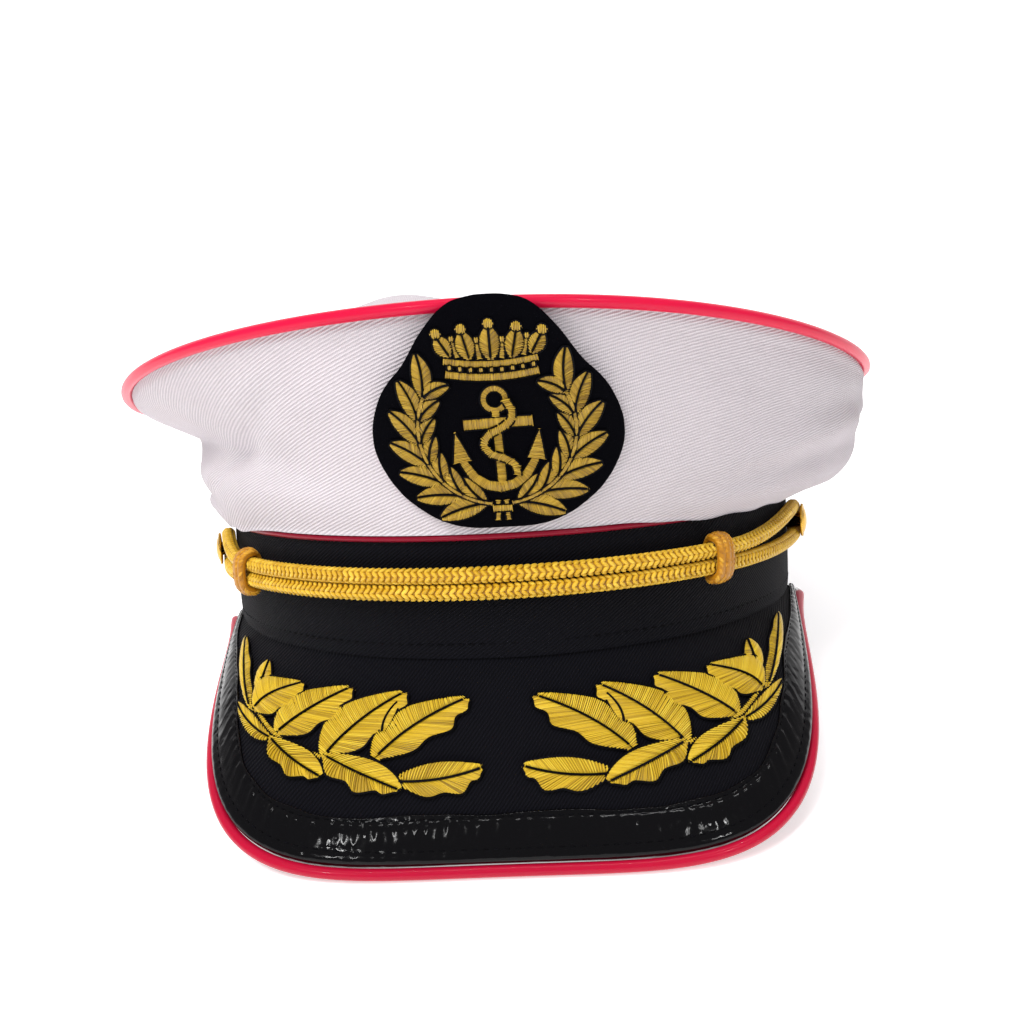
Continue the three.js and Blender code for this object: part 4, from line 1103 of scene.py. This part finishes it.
def badge_patch():
    high, wide = BADGE_SHAPE.T
    edge = np.concatenate([np.stack([-wide, high], -1), np.stack([wide[::-1], high[::-1]], -1)])
    closed = np.concatenate([edge, edge[:1]])
    s = np.concatenate([[0], np.cumsum(np.hypot(*np.diff(closed, axis=0).T))])
    at = np.linspace(0, s[-1], 181)[:-1]
    line = np.stack([np.interp(at, s, closed[:, i]) for i in (0, 1)], -1)
    for _ in range(3):
        line = (np.roll(line, 1, 0) + 2 * line + np.roll(line, -1, 0)) / 4
    k = np.concatenate([[1.0, 1.0, 0.995, 0.98], np.linspace(0.95, 0.0, 22)])
    off = np.concatenate([[0.0, 0.7, 1.1, FELT_T], np.full(22, FELT_T)])
    rows = [badge(line[:, 0] * a, line[:, 1] * a, b + 0 * line[:, 0]) for a, b in zip(k, off)]
    outer = np.stack([np.concatenate([r, r[:1]]) for r in rows], 1)
    n, m = outer.shape[:2]
    faces = grid_faces(n, m)
    mid = outer[n // 2, 10]
    if np.dot(np.cross(outer[n // 2 + 1, 10] - mid, outer[n // 2, 11] - mid), (0, -1, 0)) < 0:
        faces = faces[:, ::-1]
    felt = make("badge_felt", outer.reshape(-1, 3), faces, "black_felt", "black_felt",
                stands_for=["badge_patch"])
    sew_up(felt)


badge_patch()


WREATH_R, WREATH_Y, LEAF_PAIRS = 18.8, -3.5, 7


def badge_wreath():
    for side, name in ((-1, "left"), (1, "right")):
        sat = Satin(badge, 0.36, 0.17)
        turn = np.array([side, 1.0])
        for i in range(LEAF_PAIRS):
            a = math.radians(-78 + i * 17.5)
            out = np.array([math.cos(a), math.sin(a)])
            along = np.array([-math.sin(a), math.cos(a)])
            foot = np.array([0, WREATH_Y]) + WREATH_R * out
            for lean, wide, long, lift in ((0.55, 5.6, 12.0, 0.0), (-0.85, 4.6, 8.6, 0.05)):
                d = along + out * lean
                tip = foot + d / np.hypot(*d) * (long - 0.25 * i)
                bend = 0.6 * side * np.sign(lean)
                off = MOTIF_OFF + lift + 0.04 * i
                sat.leaf(foot * turn, tip * turn, wide - 0.12 * i, bend, off, fat=0.75)
        arc = np.radians(np.linspace(-82, 26, 26))
        stem = np.stack([WREATH_R * np.cos(arc), WREATH_Y + WREATH_R * np.sin(arc)], -1) * turn
        sat.stroke(stem, 1.0, MOTIF_OFF + 0.4, tone=0.45)
        sat.sew("badge_branch_" + name, "gold_badge", "gold_thread", ["badge_wreath_" + name])


def badge_tie():
    sat = Satin(badge, 0.36, 0.17)
    sat.stroke([(-1.3, -26.4), (-1.0, -21.4)], 1.3, MOTIF_OFF)
    sat.stroke([(1.3, -26.4), (1.0, -21.4)], 1.3, MOTIF_OFF)
    sat.stroke([(-2.2, -23.4), (2.2, -23.4)], 1.8, MOTIF_OFF + 0.3, tone=0.65)
    sat.sew("badge_tie", "gold_badge", "gold_thread", ["badge_wreath_tie"])


def badge_anchor():
    sat = Satin(badge, 0.34, 0.17)
    w = np.linspace(0, 2 * np.pi, 30)
    sat.stroke(np.stack([2.6 * np.cos(w), 4 + 2.6 * np.sin(w)], -1), 1.5, MOTIF_OFF)
    sat.stroke([(0, 1.4), (0.4, -18.2)], [2.0, 2.4], MOTIF_OFF)
    sat.stroke([(-7.6, -1.8), (8.4, -1.4)], 2.6, MOTIF_OFF + 0.25, tone=0.6)
    for side in (-1, 1):
        arm = np.array([(0, -17.8), (3.2, -17.2), (6.2, -15), (8.4, -11.4), (9.4, -8)]) * (side, 1)
        sat.stroke(arm, [2.8, 2.6, 2.2, 1.8], MOTIF_OFF + 0.1)
        sat.stroke([(side * 8.9, -10.8), (side * 10.0, -3.6)], [4.6, 0.3], MOTIF_OFF + 0.2)
    sat.sew("badge_anchor_stitched", "gold_badge", "gold_thread", ["badge_anchor"])


def badge_rope():
    """A rope laid in short slanted turns round the shank."""
    sat = Satin(badge, 0.34, 0.17)
    rope = np.array([
        (2.6, 3.4), (4.0, 1.0), (3.6, -1.4), (1.0, -3.2), (-2.2, -4.6),
        (-3.6, -7.0), (-2.0, -9.4), (1.4, -10.6), (4.0, -12.4), (4.2, -15.0),
    ])
    s = np.concatenate([[0], np.cumsum(np.hypot(*np.diff(rope, axis=0).T))])
    at = np.linspace(0, s[-1], 60)
    dense = np.stack([np.interp(at, s, rope[:, i]) for i in (0, 1)], -1)
    for _ in range(4):
        dense[1:-1] = (dense[:-2] + 2 * dense[1:-1] + dense[2:]) / 4
    for i in range(0, 58, 5):
        sat.stroke(dense[i:i + 5], 1.9, MOTIF_OFF + 0.95, slant=0.35, tone=0.62)
    sat.sew("badge_rope_stitched", "gold_badge", "gold_thread", ["badge_rope"])


def badge_coronet():
    """Two rows of stitching with beads between, and five points with smaller ones between."""
    sat = Satin(badge, 0.34, 0.17)
    k = np.linspace(-1, 1, 21)
    for low, wide in ((9.2, 1.8), (12.2, 1.6)):
        sat.stroke(np.stack([k * 10.6, low + 1.2 * k * k], -1), wide, MOTIF_OFF)
    for x in np.linspace(-9.6, 9.6, 9):
        sat.dot(x, 10.75 + 1.2 * (x / 10.6) ** 2, 0.62, MOTIF_OFF + 0.3)
    for x in (-1.0, -0.52, 0.0, 0.52, 1.0):
        foot = np.array((x * 9.4, 13.2 + 1.2 * x * x))
        top = np.array((x * 12.0, 20.6 - 1.6 * abs(x)))
        sat.leaf(foot, top, 5.0 - 0.8 * abs(x), 0, MOTIF_OFF + 0.05, fat=0.6)
        sat.dot(top[0], top[1] + 0.6, 1.25, MOTIF_OFF + 0.2, 0.7)
    for x in (-0.77, -0.26, 0.26, 0.77):
        foot = np.array((x * 9.8, 13.4 + 1.2 * x * x))
        sat.stroke([foot, foot + (x * 1.1, 3.4)], 1.3, MOTIF_OFF)
        sat.dot(foot[0] + x * 1.3, foot[1] + 4.2, 0.75, MOTIF_OFF + 0.1, 0.6)
    sat.sew("badge_coronet_stitched", "gold_badge", "gold_thread", ["badge_coronet"])


badge_wreath()
badge_tie()
badge_anchor()
badge_rope()
badge_coronet()


# ---- chin cord, knots and buttons ----------------------------------------------------------
def cord_line():
    """One closed loop: along the band above, round a shank, back below, round the other."""
    pts = []
    end = math.radians(BUTTON_AT)
    turn = SHANK_R + CORD_R + 0.25

    def strand(side, a, b, steps):
        t = np.linspace(a, b, steps, endpoint=False)
        left = smooth(math.radians(-KNOT_LEFT) + 0.06, end, -t)
        right = smooth(math.radians(KNOT_RIGHT) + 0.06, end, t)
        k = np.maximum(left, right)
        z = lerp(CORD_Z, BUTTON_Z, k) + side * lerp(CORD_SPREAD, turn, k)
        pts.append(oval(t, lerp(CORD_OFF, CORD_LOW, k), z))

    def round_button(side):
        w = np.linspace(0, np.pi, 24, endpoint=False)
        t = side * (end + np.sin(w) * turn / MEAN_R)
        pts.append(oval(t, CORD_LOW + 0 * t, BUTTON_Z + side * turn * np.cos(w)))

    strand(1, -end, end, 160)
    round_button(1)
    strand(-1, end, -end, 160)
    round_button(-1)
    return np.concatenate(pts)


def braid(name, path, radius, columns, pitch, look, slot, body, stands_for):
    """Round braid: slanted floats in columns round a core, leaning in turn each way."""
    ring = np.concatenate([path, path[:1]])
    s = lengths(ring)
    count = int(round(s[-1] / pitch))
    core = resample(ring, count * 2 + 1)[:-1]
    out0 = unit(core * (1, 1, 0))
    p, f = tube(core, radius * 0.72, 10, True, out0)
    # Painted shade: the core shows in the gaps between the floats and takes the darkest tone.
    make(name + "_core", p, f, look, slot, body=body, stands_for=stands_for, tone=np.full(len(p), 0.1))
    d = np.arange(count) / count * s[-1]
    q = np.stack([np.interp(d, s, ring[:, k]) for k in range(3)], -1)
    ahead = np.stack([np.interp((d + 0.3) % s[-1], s, ring[:, k]) for k in range(3)], -1)
    t = unit(ahead - q)
    out = unit(q * (1, 1, 0))
    out = unit(out - t * (out * t).sum(-1, keepdims=True))
    side = np.cross(t, out)
    pts, along, outs, tones = [], [], [], []
    for c in range(columns):
        a = (c + 0.5) / columns * 2 * np.pi
        r = out * math.cos(a) + side * math.sin(a)
        tang = -out * math.sin(a) + side * math.cos(a)
        lean = 1 if c % 2 else -1
        pts.append(q + r * radius * 0.78)
        along.append(unit(t * 0.74 + tang * lean * 0.67))
        outs.append(r)
        tones.append(np.clip(0.62 + RNG.normal(0, 0.10, len(d)), 0, 1))
    return floats(name, np.concatenate(pts), np.concatenate(along), np.concatenate(outs),
                  (pitch * 1.42, pitch * 0.64, radius * 0.5), np.concatenate(tones), look, slot, body=body)


braid("chin_cord_braid", cord_line(), CORD_R * 1.04, 8, 1.75, "gold_cord", "gold_cord", "cap", ["chin_cord"])


def slide_knot(deg, name, body, node):
    """Three turns of the same braid wound round both strands."""
    t0 = np.array(math.radians(deg))
    mid = oval(t0, np.array(CORD_OFF), CORD_Z)
    out = unit(mid - oval(t0, np.array(0.0), CORD_Z))
    along = np.array([-out[1], out[0], 0.0])
    pts, lines, rads = [], [], []
    w = np.linspace(0, 2 * np.pi, 60, endpoint=False)
    c, s = np.cos(w), np.sin(w)
    for shift, grow in ((-1.7, 0.55), (0.0, 1.0), (1.7, 0.55)):
        hole = CORD_R + 0.35
        o = c * (hole + 0.95 * np.where(c > 0, 1.0, 0.42) * (0.7 + 0.5 * grow))
        z = s * (hole + 1.0 * (0.7 + 0.5 * grow)) + np.tanh(s * 3) * CORD_SPREAD
        slip = 0.35 * np.sin(w)
        lines.append(mid + along * (shift + slip)[:, None] + out * o[:, None] + stack(0 * z, 0 * z, z))
        rads.append(np.where(c > 0, 1.25, lerp(1.25, 0.45, -c)) * (0.8 + 0.25 * grow))
    all_p, all_f, tone = [], [], []
    base = 0
    for line, r in zip(lines, rads):
        p, f = tube(line, r, 12, True, along)
        all_p.append(p)
        all_f += [[i + base for i in q] for q in f]
        base += len(p)
        # Painted shade: the core of the turns takes a darker tone than the floats laid on it.
        tone.append(np.full(len(p), 0.35))
    make(name + "_core", np.concatenate(all_p), all_f, "gold_knot_shaded", "gold_cord", body=body, stands_for=[node],
         tone=np.concatenate(tone))
    pos, al, ou = [], [], []
    for line, r in zip(lines, rads):
        t = tangents(line, True)
        centre = mid + along * ((line - mid) @ along)[:, None]
        rad = unit(line - centre)
        side = np.cross(t, rad)
        for a, lean in ((-0.9, -1), (0.9, 1)):
            d = rad * math.cos(a) + side * math.sin(a)
            tang = -rad * math.sin(a) + side * math.cos(a)
            keep = (line - mid) @ out > -1.2
            pos.append((line + d * (r * 0.96)[:, None])[keep][::2])
            al.append(unit(t * 0.7 + tang * lean * 0.6)[keep][::2])
            ou.append(d[keep][::2])
    pos, al, ou = np.concatenate(pos), np.concatenate(al), np.concatenate(ou)
    floats(name + "_braid", pos, al, ou, (1.9, 0.9, 0.5), RNG.uniform(0.25, 0.75, len(pos)),
           "gold_knot_shaded", "gold_cord", body=body)


slide_knot(KNOT_LEFT, "knot_left_wound", "knot_left", "slide_knot_left")
slide_knot(KNOT_RIGHT, "knot_right_wound", "knot_right", "slide_knot_right")


# The profile is pairs of radius and height off the band.
def lathe(name, profile, at, out, up, look, slot, body, stands_for, sides=40):
    w = np.arange(sides) / sides * 2 * np.pi
    side = np.cross(out, up)
    rows = [at + out * h + r * (side * np.cos(w)[:, None] + up * np.sin(w)[:, None]) for r, h in profile]
    n = len(rows)
    f = []
    for i in range(n - 1):
        for j in range(sides):
            k = (j + 1) % sides
            f.append([i * sides + j, i * sides + k, (i + 1) * sides + k, (i + 1) * sides + j])
    return make(name, np.concatenate(rows), f, look, slot, body=body, stands_for=stands_for)


def side_button(side, name, body, node):
    t = np.array(side * math.radians(BUTTON_AT))
    p = oval(t, np.array(0.0), BUTTON_Z)
    out = unit(oval(t, np.array(1.0), BUTTON_Z) - p)
    up = np.array([0, 0, 1.0])
    h, r = CORD_LOW + CORD_R + 0.3, BUTTON_R
    profile = [
        (0.01, 0.3), (SHANK_R, 0.3), (SHANK_R, h - 0.1), (r - 0.8, h), (r - 0.15, h + 0.15),
        (r, h + 0.45), (r - 0.1, h + 0.8), (r - 0.5, h + 0.9), (r - 0.8, h + 0.75), (r - 1.0, h + 0.9),
        (3.0, h + 1.4), (1.5, h + 1.75), (0.01, h + 1.85),
    ]
    lathe(name, profile, p, out, up, "gold_metal", "gold_metal", body, [node])


side_button(-1, "side_button_left_domed", "side_button_left", "button_left")
side_button(1, "side_button_right_domed", "side_button_right", "button_right")


# ---- camera, floor and lights ---------------------------------------------------------------
def camera():
    """Stands in front of the cap, a little above it, and looks slightly down."""
    yaw, pitch, roll, far, high = 0.05, 0.112, -0.056, 392.0, 69.0
    focal = 1.150390625      # focal length over the picture's width
    at = np.array([far * math.sin(yaw), -far * math.cos(yaw), high])
    fwd = np.array([-math.sin(yaw) * math.cos(pitch), math.cos(yaw) * math.cos(pitch), -math.sin(pitch)])
    right = np.array([math.cos(yaw), math.sin(yaw), 0])
    up = np.cross(right, fwd)
    r2 = math.cos(roll) * right + math.sin(roll) * up
    u2 = -math.sin(roll) * right + math.cos(roll) * up
    turn = ROW[:3, :3]
    m = Matrix.Identity(4)
    for i, axis in enumerate((turn @ r2, turn @ u2, turn @ -fwd)):
        for j in range(3):
            m[j][i] = axis[j]
    m.translation = Vector(to_row(at))
    data = bpy.data.cameras.new("camera")
    data.sensor_width = 36
    data.lens = focal * data.sensor_width
    data.clip_start = 0.01
    cam = bpy.data.objects.new("camera", data)
    cam.matrix_world = m
    bpy.context.scene.collection.objects.link(cam)
    bpy.context.scene.camera = cam


camera()


def floor():
    """A white table that sweeps up behind the cap, softly lit through."""
    w = np.radians(np.linspace(0, 90, 13))
    line = [(-3.0, 0.0)] + [(1.2 + 0.8 * math.sin(a), 0.8 - 0.8 * math.cos(a)) for a in w] + [(2.0, 3.0)]
    points = [(x, y, z - 0.0006) for y, z in line for x in (-3.0, 3.0)]
    faces = [(2 * i, 2 * i + 1, 2 * i + 3, 2 * i + 2) for i in range(len(line) - 1)]
    mesh = bpy.data.meshes.new("floor")
    mesh.from_pydata(points, [], faces)
    mesh.polygons.foreach_set("use_smooth", [True] * len(faces))
    m, t = start_look("white_sweep")
    end_look(t, {
        "Base Color": linear("#f6f6f6"), "Roughness": 0.9, "Specular IOR Level": 0.1,
        "Emission Color": linear("#ffffff"), "Emission Strength": 0.5,
    })
    mesh.materials.append(m)
    o = bpy.data.objects.new("floor", mesh)
    bpy.context.scene.collection.objects.link(o)
    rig.stage(o)


floor()


def area(name, place_at, aim, size, power, seen=True):
    """A soft light; one that isn't seen leaves no glint on the glossy pieces."""
    data = bpy.data.lights.new(name, "AREA")
    data.shape = "RECTANGLE"
    data.size, data.size_y = size
    data.energy = power
    o = bpy.data.objects.new(name, data)
    o.visible_glossy = seen
    o.location = place_at
    o.rotation_euler = (Vector(aim) - Vector(place_at)).to_track_quat("-Z", "Y").to_euler()
    bpy.context.scene.collection.objects.link(o)


area("soft_key", (-0.5, -0.6, 1.15), (0, 0, 0.05), (0.7, 0.5), 15, seen=False)
area("thin_top", (0.05, -0.22, 1.2), (0, -0.1, 0.02), (0.7, 0.015), 2.4)
area("strip_left", (-0.5, -1.0, 0.9), (0, -0.1, 0.02), (0.02, 0.3), 1.8)
area("strip_right", (0.6, -0.9, 0.8), (0, -0.1, 0.02), (0.02, 0.3), 1.8)

world = bpy.data.worlds.new("studio")
world.use_nodes = True
world.node_tree.nodes["Background"].inputs["Color"].default_value = linear("#fffafb")
world.node_tree.nodes["Background"].inputs["Strength"].default_value = 0.36
bpy.context.scene.world = world
bpy.context.scene.view_settings.view_transform = "Standard"

with open("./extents.json", "w") as out_file:
    json.dump({"cad": CAD_BOX, "visual": [list(p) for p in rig.bounds()]}, out_file)
